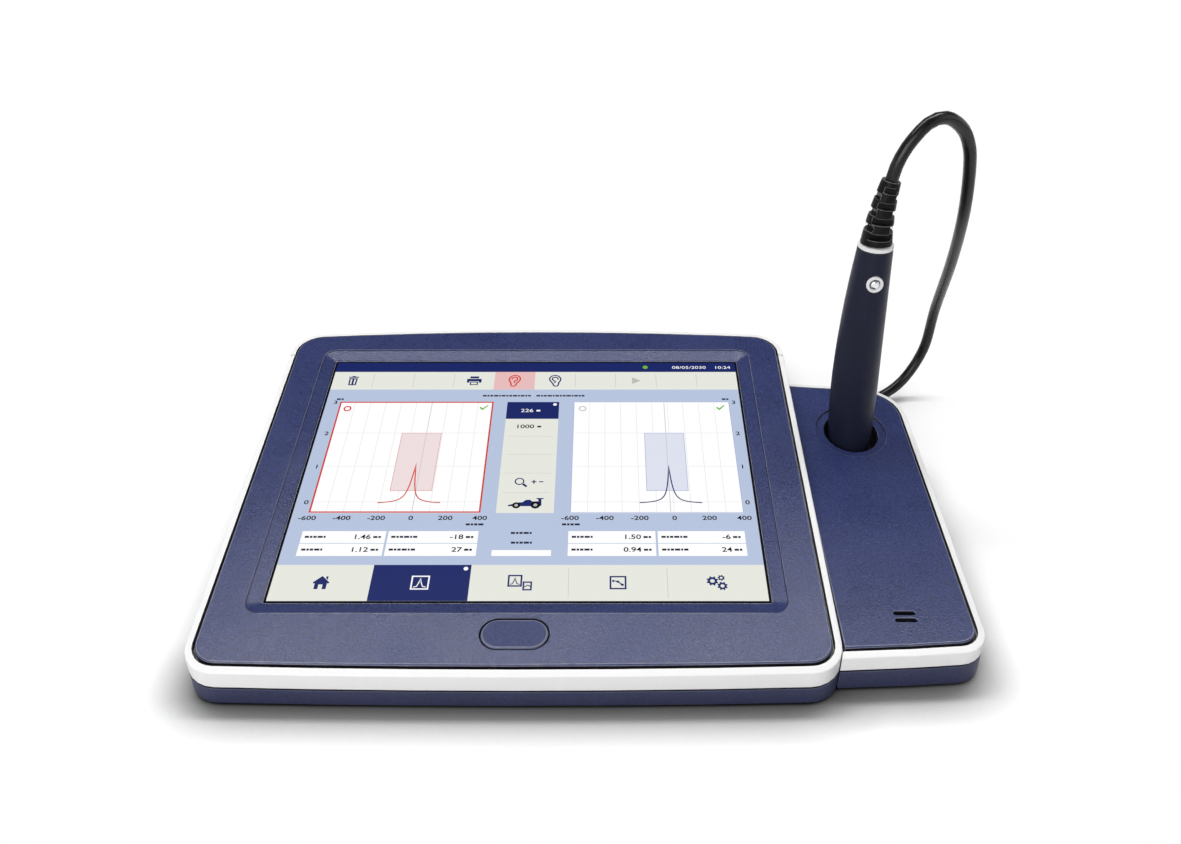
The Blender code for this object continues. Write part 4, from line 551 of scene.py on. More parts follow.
def mapped(tree, value, low, high, to_low, to_high, **values):
    inputs = {"Value": value, "From Min": low, "From Max": high, "To Min": to_low, "To Max": to_high}
    return add_node(tree, "MapRange", inputs, **values).outputs["Result"]


def mixed(tree, share, first, second, kind="MIX"):
    inputs = {"Factor": share, "A": first, "B": second}
    return add_node(tree, "Mix", inputs, data_type="RGBA", blend_type=kind).outputs["Result"]


def reckoned(tree, first, second, operation):
    return add_node(tree, "Math", {0: first, 1: second}, operation=operation).outputs["Value"]


def node_group(name, inputs, outputs):
    """A new group, the outputs of its entry node and the node that takes what it puts out."""
    group = bpy.data.node_groups.new(name, "ShaderNodeTree")
    for label, default in inputs.items():
        kind = "NodeSocketColor" if isinstance(default, tuple) else "NodeSocketFloat"
        socket = group.interface.new_socket(label, in_out="INPUT", socket_type=kind)
        socket.default_value = default
    for label in outputs:
        kind = "NodeSocketColor" if label == "Colour" else "NodeSocketFloat"
        group.interface.new_socket(label, in_out="OUTPUT", socket_type=kind)
    return group, group.nodes.new("NodeGroupInput").outputs, group.nodes.new("NodeGroupOutput")


def build_moulded_grain():
    """Fine moulded grain with slow changes of tone: colour, roughness and height."""
    inputs = {
        "Deep": (0.1, 0.1, 0.1, 1), "Pale": (0.2, 0.2, 0.2, 1), "Grains": 2400.0, "Patches": 30.0,
        "Low Roughness": 0.4, "High Roughness": 0.5,
    }
    group, entry, leave = node_group("Moulded Grain", inputs, ("Colour", "Roughness", "Height"))
    place = object_place(group)
    fine = noise(group, place, entry["Grains"], 3.0)
    slow = noise(group, place, entry["Patches"], 2.0)
    speck = mapped(group, fine, 0.3, 0.7, 0.0, 1 - DRIFT_SHARE)
    drift = mapped(group, slow, 0.2, 0.8, 0.0, DRIFT_SHARE)
    feed(group, leave, {
        "Colour": mixed(group, reckoned(group, speck, drift, "ADD"), entry["Deep"], entry["Pale"]),
        "Roughness": mapped(group, slow, 0.2, 0.8, entry["Low Roughness"], entry["High Roughness"]),
        "Height": fine,
    })


def build_edge_wear():
    """Outer edges lightened for wear and as a painted highlight, painted shade in inner corners and
    near-black painted shade on the seams' walls, over a colour.
    """
    inputs = {"Colour": (0.5, 0.5, 0.5, 1), "Rubbed": (0.6, 0.6, 0.6, 1), "Amount": 0.3, "Dirt": 0.3}
    group, entry, leave = node_group("Edge Wear", inputs, ("Colour", "Mask"))
    mark = add_node(group, "Attribute", {}, attribute_name=EDGE_MARK).outputs["Fac"]
    broken = mapped(group, noise(group, object_place(group), 160.0, 4.0), 0.4, 0.65, 0.7, 1.0)
    # Outer edges lighten for wear and as a painted highlight; inner corners and marked walls darken as
    # painted shade.
    outer = mapped(group, mark, 0.0, 1.0, 0.0, 1.0)
    inner = mapped(group, mark, 0.0, -1.0, 0.0, 1.0)
    seam_shade = mapped(group, mark, -1.5, -2.0, 0.0, SEAM_SHADE)
    rubbed_and_highlit = reckoned(group, reckoned(group, outer, broken, "MULTIPLY"), entry["Amount"], "MULTIPLY")
    painted_shade = reckoned(group, reckoned(group, inner, entry["Dirt"], "MULTIPLY"), seam_shade, "MAXIMUM")
    worn_and_painted_light = mixed(group, rubbed_and_highlit, entry["Colour"], entry["Rubbed"])
    feed(group, leave, {"Colour": mixed(group, painted_shade, worn_and_painted_light, PAINTED_SHADE_TONE), "Mask": rubbed_and_highlit})


def build_drawn_metal():
    """Fine drawn lines along X on bare metal: tone, roughness and height."""
    inputs = {"Metal": (0.5, 0.5, 0.5, 1), "Lines": 900.0, "Low Roughness": 0.2, "High Roughness": 0.4}
    group, entry, leave = node_group("Drawn Metal", inputs, ("Colour", "Roughness", "Height"))
    stretch = add_node(group, "Mapping", {"Vector": object_place(group), "Scale": (0.04, 1.0, 1.0)})
    lines = noise(group, stretch.outputs["Vector"], entry["Lines"], 3.0)
    shade = mapped(group, lines, 0.3, 0.7, 0.0, 0.25)
    feed(group, leave, {
        "Colour": mixed(group, shade, entry["Metal"], (0.9, 0.9, 0.92)),
        "Roughness": mapped(group, lines, 0.3, 0.7, entry["Low Roughness"], entry["High Roughness"]),
        "Height": lines,
    })


# Materials

GRAIN_DEPTH = 0.0002
LINE_DEPTH = 0.0001
UNLIT_SHARE = 0.05
MATT_SHEEN = 0.04


def new_material(name):
    material = bpy.data.materials.new(name)
    material.use_nodes = True
    return material.node_tree, material.node_tree.nodes["Principled BSDF"]


def use_group(tree, name, inputs):
    return add_node(tree, "Group", inputs, node_tree=bpy.data.node_groups[name]).outputs


def raised(tree, height, strength, distance):
    inputs = {"Height": height, "Strength": strength, "Distance": distance}
    return add_node(tree, "Bump", inputs).outputs["Normal"]


def lighter(colour, share):
    return tuple(value + (1 - value) * share for value in colour)


def scaled(colour, share):
    return tuple(min(value * share, 1.0) for value in colour)


def worn_material(name, surface, wear, bumps, depth, plain):
    """A material of a group's colour, roughness and height, worn and given a painted highlight at its edges,
    with painted shade in its corners and on marked walls.
    """
    tree, shader = new_material(name)
    surface = use_group(tree, *surface)
    worn_and_painted_light = use_group(tree, "Edge Wear", {"Colour": surface["Colour"], **wear})
    feed(tree, shader, {
        "Base Color": worn_and_painted_light["Colour"], "Roughness": surface["Roughness"],
        "Normal": raised(tree, surface["Height"], bumps, depth), **plain,
    })


def moulded(name, colour, rough, grains, bumps, wear=0.2, dirt=0.25, spec=0.5, spread=0.25):
    """Moulded plastic or rubber with a fine grain, edges lightened for wear and as a painted highlight, and
    painted shade in its corners and on marked walls.
    """
    grain = {
        "Deep": scaled(colour, 1 - spread), "Pale": scaled(colour, 1 + spread), "Grains": grains,
        "Low Roughness": rough - 0.04, "High Roughness": rough + 0.05,
    }
    edges = {"Rubbed": lighter(colour, 0.3), "Amount": wear, "Dirt": dirt}
    plain = {"Specular IOR Level": spec}
    worn_material(name, ("Moulded Grain", grain), edges, bumps, GRAIN_DEPTH, plain)


def bare_metal(name, colour, low, high, lines=900.0, bumps=0.08):
    """Bare metal with drawn lines, edges lightened for wear and as a painted highlight, and painted shade in
    its corners, where a piece carries edge marks.
    """
    marks = {"Metal": colour, "Lines": lines, "Low Roughness": low, "High Roughness": high}
    edges = {"Rubbed": lighter(colour, 0.4), "Amount": 0.4, "Dirt": 0.4}
    worn_material(name, ("Drawn Metal", marks), edges, bumps, LINE_DEPTH, {"Metallic": 1.0})


def lit(name, colour, glow):
    """A layer of the screen's picture: dim by itself, lit from behind, under a matt sheet."""
    tree, shader = new_material("Screen " + name)
    grain = use_group(tree, "Moulded Grain", {
        "Deep": scaled(colour, 0.98), "Pale": scaled(colour, 1.02), "Grains": 3000.0, "Patches": 12.0,
        "Low Roughness": 0.30, "High Roughness": 0.34,
    })
    feed(tree, shader, {
        "Base Color": mixed(tree, UNLIT_SHARE, (0.0, 0.0, 0.0), grain["Colour"]),
        "Emission Color": grain["Colour"], "Roughness": grain["Roughness"],
        "Emission Strength": glow, "Specular IOR Level": MATT_SHEEN,
    })


def solder_mask(name):
    """Green solder mask with faint tracks under it."""
    tree, shader = new_material(name)
    tracks = add_node(tree, "TexBrick", {
        "Vector": object_place(tree), "Scale": 190.0, "Mortar Size": 0.03,
        "Color1": (0.012, 0.11, 0.04), "Color2": (0.015, 0.13, 0.05), "Mortar": (0.03, 0.22, 0.09),
    }).outputs
    feed(tree, shader, {
        "Base Color": tracks["Color"], "Roughness": 0.3,
        "Normal": raised(tree, tracks["Fac"], 0.2, LINE_DEPTH),
    })


SCREEN_TONES = {
    "line": (206, 206, 208), "grid": (222, 224, 226), "pink line": (214, 190, 190),
    "pink box": (243, 226, 227), "pink edge": (222, 160, 160), "blue box": (226, 229, 243),
    "blue edge": (170, 180, 222), "green": (112, 184, 44), "grey": (190, 191, 188),
    "word": (34, 38, 62), "number": (10, 10, 22),
}


class TYMPANOMETER_OT_finishes(bpy.types.Operator):
    """Builds the shared node groups and every finish of the object"""

    bl_idname = "tympanometer.finishes"
    bl_label = "Build Finishes"

    def execute(self, context):
        case = context.scene.tympanometer_case
        screen = context.scene.tympanometer_screen
        jacket = context.scene.tympanometer_cord.jacket
        build_moulded_grain()
        build_edge_wear()
        build_drawn_metal()
        grains = 1.0 / case.grain
        white, black = tone(232, 232, 232), tone(24, 24, 26)
        # The edge amounts lighten rounded edges for wear and as a painted highlight; the corner amounts give
        # painted shade in inner corners.
        moulded("Navy plate", case.plate, 0.28, grains, 0.5, spec=0.28, spread=0.6, wear=0.6, dirt=0.5)
        moulded("Navy key", case.plate, 0.44, grains, 0.4, spec=0.24, spread=0.4, wear=0.5)
        moulded("Navy tub", case.tub, 0.42, grains, 0.15, wear=0.15, spec=0.25)
        moulded("White trim", case.trim, 0.36, grains * 2, 0.05, spread=0.03, wear=0.1, dirt=0.2)
        moulded("White plastic", white, 0.34, grains * 2, 0.04, spread=0.04)
        moulded("Probe shell", case.shell, 0.40, grains * 1.3, 0.22, spread=0.3, spec=0.14)
        moulded("Black plastic", black, 0.42, grains, 0.15, spread=0.3)
        moulded("Black rubber", tone(12, 12, 14), 0.34, grains * 1.4, 0.12, spread=0.3, wear=0.55, spec=0.12)
        moulded("Cord jacket", jacket, 0.28, grains * 2, 0.03, spread=0.2, wear=0.0, dirt=0.0, spec=0.32)
        moulded("Clear tube", tone(210, 214, 220), 0.2, grains, 0.03, spread=0.1)
        moulded("Glass edge", tone(6, 6, 8), 0.5, grains, 0.0, spread=0.2, wear=0.0, spec=0.05)
        bare_metal("Sheet steel", (0.52, 0.52, 0.54), 0.28, 0.42)
        bare_metal("Aluminium", (0.66, 0.66, 0.68), 0.3, 0.45)
        bare_metal("Brass", (0.62, 0.48, 0.24), 0.2, 0.34)
        bare_metal("Button metal", (0.70, 0.70, 0.72), 0.12, 0.2, lines=2200.0, bumps=0.03)
        solder_mask("Solder mask")
        for name in ("ink", "paper", "field", "chosen"):
            lit(name, getattr(screen, name), screen.glow)
        lit("red", screen.right_side, screen.glow)
        lit("white", tone(255, 255, 255), screen.glow * 1.05)
        for name, colour in SCREEN_TONES.items():
            lit(name, tone(*colour), screen.glow)
        return {"FINISHED"}


# The cord, by the same points as its solids

MOUTH = Vector((0.13229, 0.038971, 0.1676))
MOUTH_WAY = Vector((0.1896, 0.0, 0.98186))
SEAT_GAP = 0.0003
BOW = (
    (0.1371, 0.0399, 0.1820), (0.1453, 0.0428, 0.1911), (0.1538, 0.0465, 0.1928),
    (0.1622, 0.0508, 0.1880), (0.1683, 0.0552, 0.1801), (0.1729, 0.0600, 0.1676),
    (0.1786, 0.0715, 0.1405),
)
FALL = (
    (0.1872, 0.0995, 0.1041), (0.1951, 0.1335, 0.0603), (0.1951, 0.1406, 0.0307),
    (0.1843, 0.1366, 0.0113), (0.1680, 0.1290, 0.0034), (0.1521, 0.1232, 0.0030),
    (0.1300, 0.1203, 0.0030), (0.1100, 0.1197, 0.0030),
)
TAIL = (
    (0.0292, 0.1815, 0.0085), (0.0225, 0.1920, 0.0060), (0.0095, 0.1970, 0.0045),
    (-0.0055, 0.1930, 0.0060), (-0.0175, 0.1820, 0.0110), (-0.0238, 0.1670, 0.0180),
)
BOOT_END = Vector((-0.0260, 0.141762, 0.0240))
COIL_CENTRE = Vector((0.0700, 0.160467))
COIL_RADIUS = 0.0400
COIL_PITCH = 0.0065
COIL_LAYER = 0.0064
COIL_TURNS = 5.25
COIL_CLIMB = 0.5
COIL_LEAD = 0.0250
COIL_POINTS = 36
CORD_STEP = 0.004
CORD_SMOOTH = math.radians(40)


def straight_end(points, length):
    """The point that carries a bent line straight on past its first point."""
    first, second, third = points[:3]
    onward = 3 * (first - second) - (second - third)
    return first + onward.normalized() * length


def coil_points(radius):
    """The coil's middle line: inwards on the floor, up in the turning half loop, outwards on top."""
    layer_turns = (COIL_TURNS - COIL_CLIMB) / 2
    inner = COIL_RADIUS - COIL_PITCH * layer_turns
    count = round(COIL_TURNS * COIL_POINTS)
    points = []
    for i in range(count + 1):
        turns = COIL_TURNS * i / count
        climb = min(max((turns - layer_turns) / COIL_CLIMB, 0), 1)
        if turns < layer_turns + COIL_CLIMB:
            reach = COIL_RADIUS - COIL_PITCH * min(turns, layer_turns)
            reach -= COIL_PITCH * COIL_CLIMB * climb * (1 - climb)
        else:
            reach = inner + COIL_PITCH * (turns - layer_turns - COIL_CLIMB)
        angle = -math.pi / 2 - 2 * math.pi * turns
        points.append(Vector((
            COIL_CENTRE.x + reach * math.cos(angle),
            COIL_CENTRE.y + reach * math.sin(angle),
            radius + COIL_LAYER * (3 - 2 * climb) * climb**2,
        )))
    return [straight_end(points, COIL_LEAD)] + points + [straight_end(points[::-1], 2 * radius)]


def smooth_points(route):
    """Points about a step apart on a smooth curve through the route's points."""
    knots = [Vector(point) for point in route]
    ends = [2 * knots[0] - knots[1]] + knots + [2 * knots[-1] - knots[-2]]
    points = [knots[0]]
    for a, b, c, d in zip(ends, ends[1:], ends[2:], ends[3:]):
        pieces = max(1, round((c - b).length / CORD_STEP))
        for i in range(1, pieces + 1):
            t = i / pieces
            bend = (2 * a - 5 * b + 4 * c - d) * t**2 + (3 * b - a - 3 * c + d) * t**3
            points.append(0.5 * (2 * b + (c - a) * t + bend))
    return points


def cord_path(radius):
    """The cord's middle line from the strain relief's mouth to the plug's boot."""
    coil = coil_points(radius)
    into = (coil[0] - coil[1]).normalized()
    start = MOUTH + MOUTH_WAY * SEAT_GAP
    route = [start, start + MOUTH_WAY * 2 * radius, *BOW, *FALL, coil[0] + into * 2 * radius, coil[0]]
    out = (coil[-1] - coil[-2]).normalized()
    tail = [coil[-1], coil[-1] + out * 2 * radius, *TAIL]
    tail += [BOOT_END + Vector((0, 2 * radius + SEAT_GAP, 0)), BOOT_END + Vector((0, SEAT_GAP, 0))]
    return smooth_points(route) + coil[1:-1] + smooth_points(tail)


class TYMPANOMETER_OT_cord(bpy.types.Operator):
    """The probe's cord: over the dock, down to the table, round the coil and into its plug"""

    bl_idname = "tympanometer.cord"
    bl_label = "Add Cord"

    def execute(self, context):
        choices = context.scene.tympanometer_cord
        path = cord_path(choices.diameter / 2)
        cord = drawn(
            "cord", [path], dimensions="3D", bevel_depth=choices.diameter / 2,
            bevel_resolution=choices.sides, use_fill_caps=True,
        )
        bpy.ops.object.shade_smooth_by_angle(angle=CORD_SMOOTH)
        paint(cord, "Cord jacket")
        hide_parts("probe_cord", "cord_coil", "cord_tail")
        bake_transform(cord)
        boot = finished_copy("plug_sleeve", "plug_boot", 0.0002)
        settle(boot, "console", "black_rubber", "Black rubber", "plug_boot")
        plug = finished_copy("plug_body", "probe_plug", 0.0003)
        settle(plug, "console", "black_plastic", "Black plastic", "probe_plug")
        return {"FINISHED"}


# The case and the probe: name, node, body, slot, material, edge and further shaping of each copy

COPIES = (
    ("panel_plate", "front_panel", "console", "panel", "Navy plate", 0.00022, cut_recess),
    ("key_cap", "power_button", "power_button", "panel", "Navy key", 0.00035, None),
    ("trim_band", "trim_frame", "console", "white_trim", "White trim", 0.00020, console_trim),
    ("rear_shell", "rear_cover", "console", "white_trim", "White trim", 0.00020, open_seams),
    ("console_tub", "base_pan", "console", "base", "Navy tub", 0.00030, console_lower),
    ("dock_tub", "dock_base", "console", "base", "Navy tub", 0.00030, dock_lower),
    ("dock_band", "dock_frame", "console", "white_trim", "White trim", 0.00020, dock_trim),
    ("dock_top", "dock_plate", "console", "panel", "Navy plate", 0.00022, cut_recess),
    ("pocket_cup", "probe_cup", "console", "black_plastic", "Black plastic", 0.00020, None),
    ("glass_sheet", "touch_glass", "console", "screen_glass", "Glass edge", 0.00015, None),
    ("handle_shell", "probe_handle", "probe", "probe_shell", "Probe shell", 0.00020, None),
    ("nose_cone", "probe_nose", "probe", "probe_shell", "Probe shell", 0.00020, None),
    ("ear_tip", "probe_tip", "probe", "white_plastic", "White plastic", 0.00015, None),
    ("end_ring", "probe_end_ring", "probe", "white_trim", "White plastic", 0.00020, None),
    ("relief_sleeve", "probe_strain_relief", "probe", "black_rubber", "Black rubber", 0.00022, dark_windows),
    ("button_bezel", "probe_button_bezel", "probe", "white_plastic", "White plastic", 0.00015, None),
    ("button_dome", "probe_button", "probe_button", "button_metal", "Button metal", 0.00012, None),
)

CARRIED = {
    "Black rubber": ("screen_gasket", "foot_1", "foot_2", "foot_3", "foot_4", "dock_foot_1", "dock_foot_2"),
    "Sheet steel": (
        "display_panel", "display_bracket", "usb_port", "pump_bracket", "pump_motor", "pump_screw",
        "case_screw_1", "case_screw_2", "case_screw_3", "case_screw_4", "dock_screw_1", "dock_screw_2",
    ),
    "Solder mask": ("switch_board", "main_board"),
    "Aluminium": ("heat_spreader",),
    "Brass": ("valve_block",),
    "Clear tube": ("air_tube",),
    "White plastic": ("pump_cylinder",),
    "Black plastic": ("power_inlet", "probe_socket", "pump_piston", "dock_speaker", "probe_core"),
}


class TYMPANOMETER_OT_case(bpy.types.Operator):
    """The case, dock and probe shells with their edges rounded, and finishes on the inner nodes"""

    bl_idname = "tympanometer.case"
    bl_label = "Finish Case and Probe"

    def execute(self, context):
        for name, node, body, slot, material, edge, shape in COPIES:
            angle = PLATE_ANGLE if shape == cut_recess else SHARP_ANGLE
            settle(finished_copy(name, node, edge, angle, shape), body, slot, material, node)
        for material, names in CARRIED.items():
            for name in names:
                paint(nodes[name], material)
        return {"FINISHED"}


# The screen's picture

PICTURE_WIDTH = 211.2
PICTURE_HEIGHT = 158.4
BAR_LOW = 150.8
TOOLS_LOW = 136.5
TABS_HIGH = 19.5
GRAPH_LOW = 50.0
GRAPH_HIGH = 126.7
BASELINE = 56.9
UNIT = 23.27
VALUE_HIGH = 7.0
GLASS_THICKNESS = 0.0011
GLASS_MARGIN = 0.0008
FONT_RATIO = 1.38
NUMBER_WEIGHT = 0.020
NUMBER_WIDTH = 1.25
DASHES = (1.9, 1.1, 1.5, 2.3, 0.9)
DASH_HEIGHT = 1.15
DASH_GAP = 0.4


def screen_place():
    """The matrix from the picture's millimetres to the frame, on the glass's top face."""
    low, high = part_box("touch_glass")
    length = (high.y - low.y - GLASS_THICKNESS * math.sin(SLOPE)) / math.cos(SLOPE)
    front = Vector((low.x, low.y, high.z - length * math.sin(SLOPE)))
    turn = Matrix.Rotation(SLOPE, 4, "X")
    corner = turn @ Vector((GLASS_MARGIN, GLASS_MARGIN, 0))
    return Matrix.Translation(front + corner) @ turn @ Matrix.Scale(MM, 4)


def rectangle(low_x, low_y, high_x, high_y):
    return [(low_x, low_y), (high_x, low_y), (high_x, high_y), (low_x, high_y)]


def uprights(places, low, high, width=0.24):
    return [rectangle(x - width / 2, low, x + width / 2, high) for x in places]


def levels(places, low, high, width):
    return [rectangle(low, y - width / 2, high, y + width / 2) for y in places]


def disc(x, y, radius, sides=24):
    angles = [2 * math.pi * i / sides for i in range(sides)]
    return [(x + radius * math.cos(a), y + radius * math.sin(a)) for a in angles]


def ring(x, y, radius, width):
    return [disc(x, y, radius), disc(x, y, radius - width)]


def frame_lines(low_x, low_y, high_x, high_y, width):
    """A rectangular frame as an outer and an inner outline."""
    inner = rectangle(low_x + width, low_y + width, high_x - width, high_y - width)
    return [rectangle(low_x, low_y, high_x, high_y), inner]


def stroke(points, width):
    """The outline of a pen stroke along the points."""
    line = [Vector(p) for p in points]
    left, right = [], []
    for i, point in enumerate(line):
        before = line[max(i - 1, 0)]
        after = line[min(i + 1, len(line) - 1)]
        way = (after - before).normalized()
        side = Vector((-way.y, way.x)) * width / 2
        left.append(tuple(point + side))
        right.append(tuple(point - side))
    return left + right[::-1]


def moved(outlines, x, y, size=1.0):
    return [[(x + size * a, y + size * b) for a, b in outline] for outline in outlines]


def dashes(low, high, y):
    """A row of dashes of several lengths from low to high, in place of a word."""
    outlines = []
    for length in DASHES * 4:
        if low + length > high:
            break
        outlines.append(rectangle(low, y - DASH_HEIGHT / 2, low + length, y + DASH_HEIGHT / 2))
        low += length + DASH_GAP
    return outlines


def peak_curve(foot, top, half_width):
    """Points of a peaked curve about x = 0, from foot level up to top."""
    points = []
    for i in range(-40, 41):
        near = abs(i) / 40
        height = 0.75 * math.exp(-near * 13.0) + 0.25 * math.exp(-near * 3.5) - 0.0076 * near
        points.append((half_width * i / 40, foot + (top - foot) * height))
    return points


def gear(x, y, radius, teeth):
    """A toothed wheel with a round hole."""
    rim = []
    for i in range(teeth):
        for share, reach in ((0.0, 0.78), (0.18, 0.78), (0.26, 1.0), (0.62, 1.0), (0.70, 0.78)):
            angle = 2 * math.pi * (i + share) / teeth
            rim.append((x + radius * reach * math.cos(angle), y + radius * reach * math.sin(angle)))
    return [rim, disc(x, y, radius * 0.38, 20)]


def half_sheet():
    """Half the thickness of a layer, in the picture's millimetres."""
    return bpy.context.scene.tympanometer_screen.sheet / MM / 2


def lay_on_screen(piece, layer, finish):
    """Moves a flat piece drawn in the picture's millimetres to its layer on the glass."""
    thickness = bpy.context.scene.tympanometer_screen.sheet
    lift = Matrix.Translation((0, 0, (layer * thickness + thickness / 2) / MM))
    piece.matrix_world = screen_place() @ lift
    only(piece)
    bpy.ops.object.transform_apply(location=True, rotation=True, scale=True)
    settle(piece, "console", "screen_glass", "Screen " + finish)


def flat_layer(name, outlines, layer, finish):
    """One layer of the picture: closed outlines filled, holes left out, made a thin solid."""
    piece = drawn(name, outlines, True, dimensions="2D", fill_mode="BOTH", extrude=half_sheet())
    lay_on_screen(piece, layer, finish)


def number_layer(name, words, layer, finish, weight=NUMBER_WEIGHT):
    """Numbers in the picture as one piece: (text, x, y, height, alignment) each."""
    written = []
    for text, x, y, height, align in words:
        bpy.ops.object.select_all(action="DESELECT")
        bpy.ops.object.text_add(location=(x, y, 0))
        word = bpy.context.object
        set_all(
            word.data, body=text, size=height * FONT_RATIO, align_x=align, align_y="CENTER",
            extrude=half_sheet(), offset=height * weight, resolution_u=3,
        )
        word.scale.x = NUMBER_WIDTH
        bpy.ops.object.convert(target="MESH")
        written.append(bpy.context.object)
    for word in written:
        word.select_set(True)
    bpy.context.view_layer.objects.active = written[0]
    if len(written) > 1:
        bpy.ops.object.join()
    piece = bpy.context.object
    piece.name = name
    only(piece)
    bpy.ops.object.transform_apply(location=True, rotation=True, scale=True)
    lay_on_screen(piece, layer, finish)


# Icons, drawn about their own middle in millimetres

HOUSE = [
    [(-3.6, 0.1), (0, 3.6), (3.6, 0.1), (3.0, -0.6), (2.6, -0.2), (2.6, -3.5), (0.9, -3.5), (0.9, -1.0),
     (-0.9, -1.0), (-0.9, -3.5), (-2.6, -3.5), (-2.6, -0.2), (-3.0, -0.6)],
    [(1.7, 2.4), (1.7, 3.4), (2.6, 3.4), (2.6, 1.5)],
]
BIN = [
    [(-2.6, 2.4), (-2.6, 3.1), (-1.0, 3.1), (-0.8, 3.7), (0.8, 3.7), (1.0, 3.1), (2.6, 3.1), (2.6, 2.4)],
    [(-2.2, 1.9), (-2.0, -3.7), (2.0, -3.7), (2.2, 1.9)],
    [(-1.4, 1.2), (-0.5, 1.2), (-0.5, -3.0), (-1.3, -3.0)],
    [(0.5, 1.2), (1.4, 1.2), (1.3, -3.0), (0.5, -3.0)],
]
PRINTER = [
    [(-3.8, 1.4), (-3.8, -1.6), (-2.5, -1.6), (-2.5, -0.5), (2.5, -0.5), (2.5, -1.6), (3.8, -1.6),
     (3.8, 1.4)],
    [(-2.3, 1.9), (-2.3, 3.4), (2.3, 3.4), (2.3, 1.9)],
    [(-2.1, -0.9), (-2.1, -3.5), (2.1, -3.5), (2.1, -0.9)],
    [(-1.5, -1.5), (-1.5, -2.9), (1.5, -2.9), (1.5, -1.5)],
]
PEAK = [(-2.7, -2.4), (-1.3, -2.1), (-0.5, 0.0), (0.0, 2.4), (0.5, 0.0), (1.3, -2.1), (2.7, -2.4)]
HILL = [(-1.2, -2.4), (-0.6, -1.9), (0.0, -1.4), (0.7, -1.5), (1.3, -2.2)]
LINKED_POINTS = [
    (-2.7, 0.7), (-2.3, 1.5), (-1.5, 1.2), (-0.6, 1.0), (0.2, 1.1), (0.7, 0.3), (1.3, -0.4), (2.2, -0.6),
    (2.6, -1.3), (2.1, -1.9), (1.4, -1.6), (1.0, -0.9), (0.4, -0.1), (-0.3, -0.1), (-0.7, 0.5), (-1.5, 0.7),
    (-2.0, 0.2),
]
PLAY = [[(-2.0, -2.6), (2.5, 0.0), (-2.0, 2.6)]]
PLUS = [
    (-0.3, -1.2), (0.3, -1.2), (0.3, -0.3), (1.2, -0.3), (1.2, 0.3), (0.3, 0.3),
    (0.3, 1.2), (-0.3, 1.2), (-0.3, 0.3), (-1.2, 0.3), (-1.2, -0.3), (-0.3, -0.3),
]
CAR = [
    (-8.0, -1.6), (-8.0, -0.9), (-3.2, 0.7), (-1.4, 0.9), (0.0, 2.3), (1.8, 2.5), (3.2, 1.3), (6.0, 1.5),
    (5.6, 2.9), (4.9, 2.9), (4.9, 3.5), (8.2, 3.5), (8.2, 2.9), (7.2, 2.9), (7.4, -1.2), (6.4, -1.6),
]
EAR = (
    [(-0.1, -3.0), (-0.9, -2.9), (-1.2, -2.2), (-1.3, -1.1), (-1.9, 0.1), (-1.9, 1.3), (-1.2, 2.4),
     (0.0, 2.9), (1.2, 2.5), (1.9, 1.5), (1.9, 0.4), (1.3, -0.7), (0.7, -1.6), (0.5, -2.5), (-0.1, -3.0)],
    [(-1.0, 0.6), (-0.9, 1.4), (-0.1, 1.9), (0.8, 1.6), (1.0, 0.8), (0.5, 0.0), (-0.1, -0.3), (0.1, -1.2)],
)
LENS_HANDLE = [(0.4, -0.7), (2.4, -2.9), (3.1, -2.2), (1.1, -0.1)]
TICK = [(-1.7, 0.2), (-1.1, 0.7), (-0.4, -0.2), (1.6, 1.9), (1.9, 1.6), (-0.4, -1.3)]
THIN_PEN = 0.45
EAR_PEN = 0.5
EAR_SIZE = 1.5


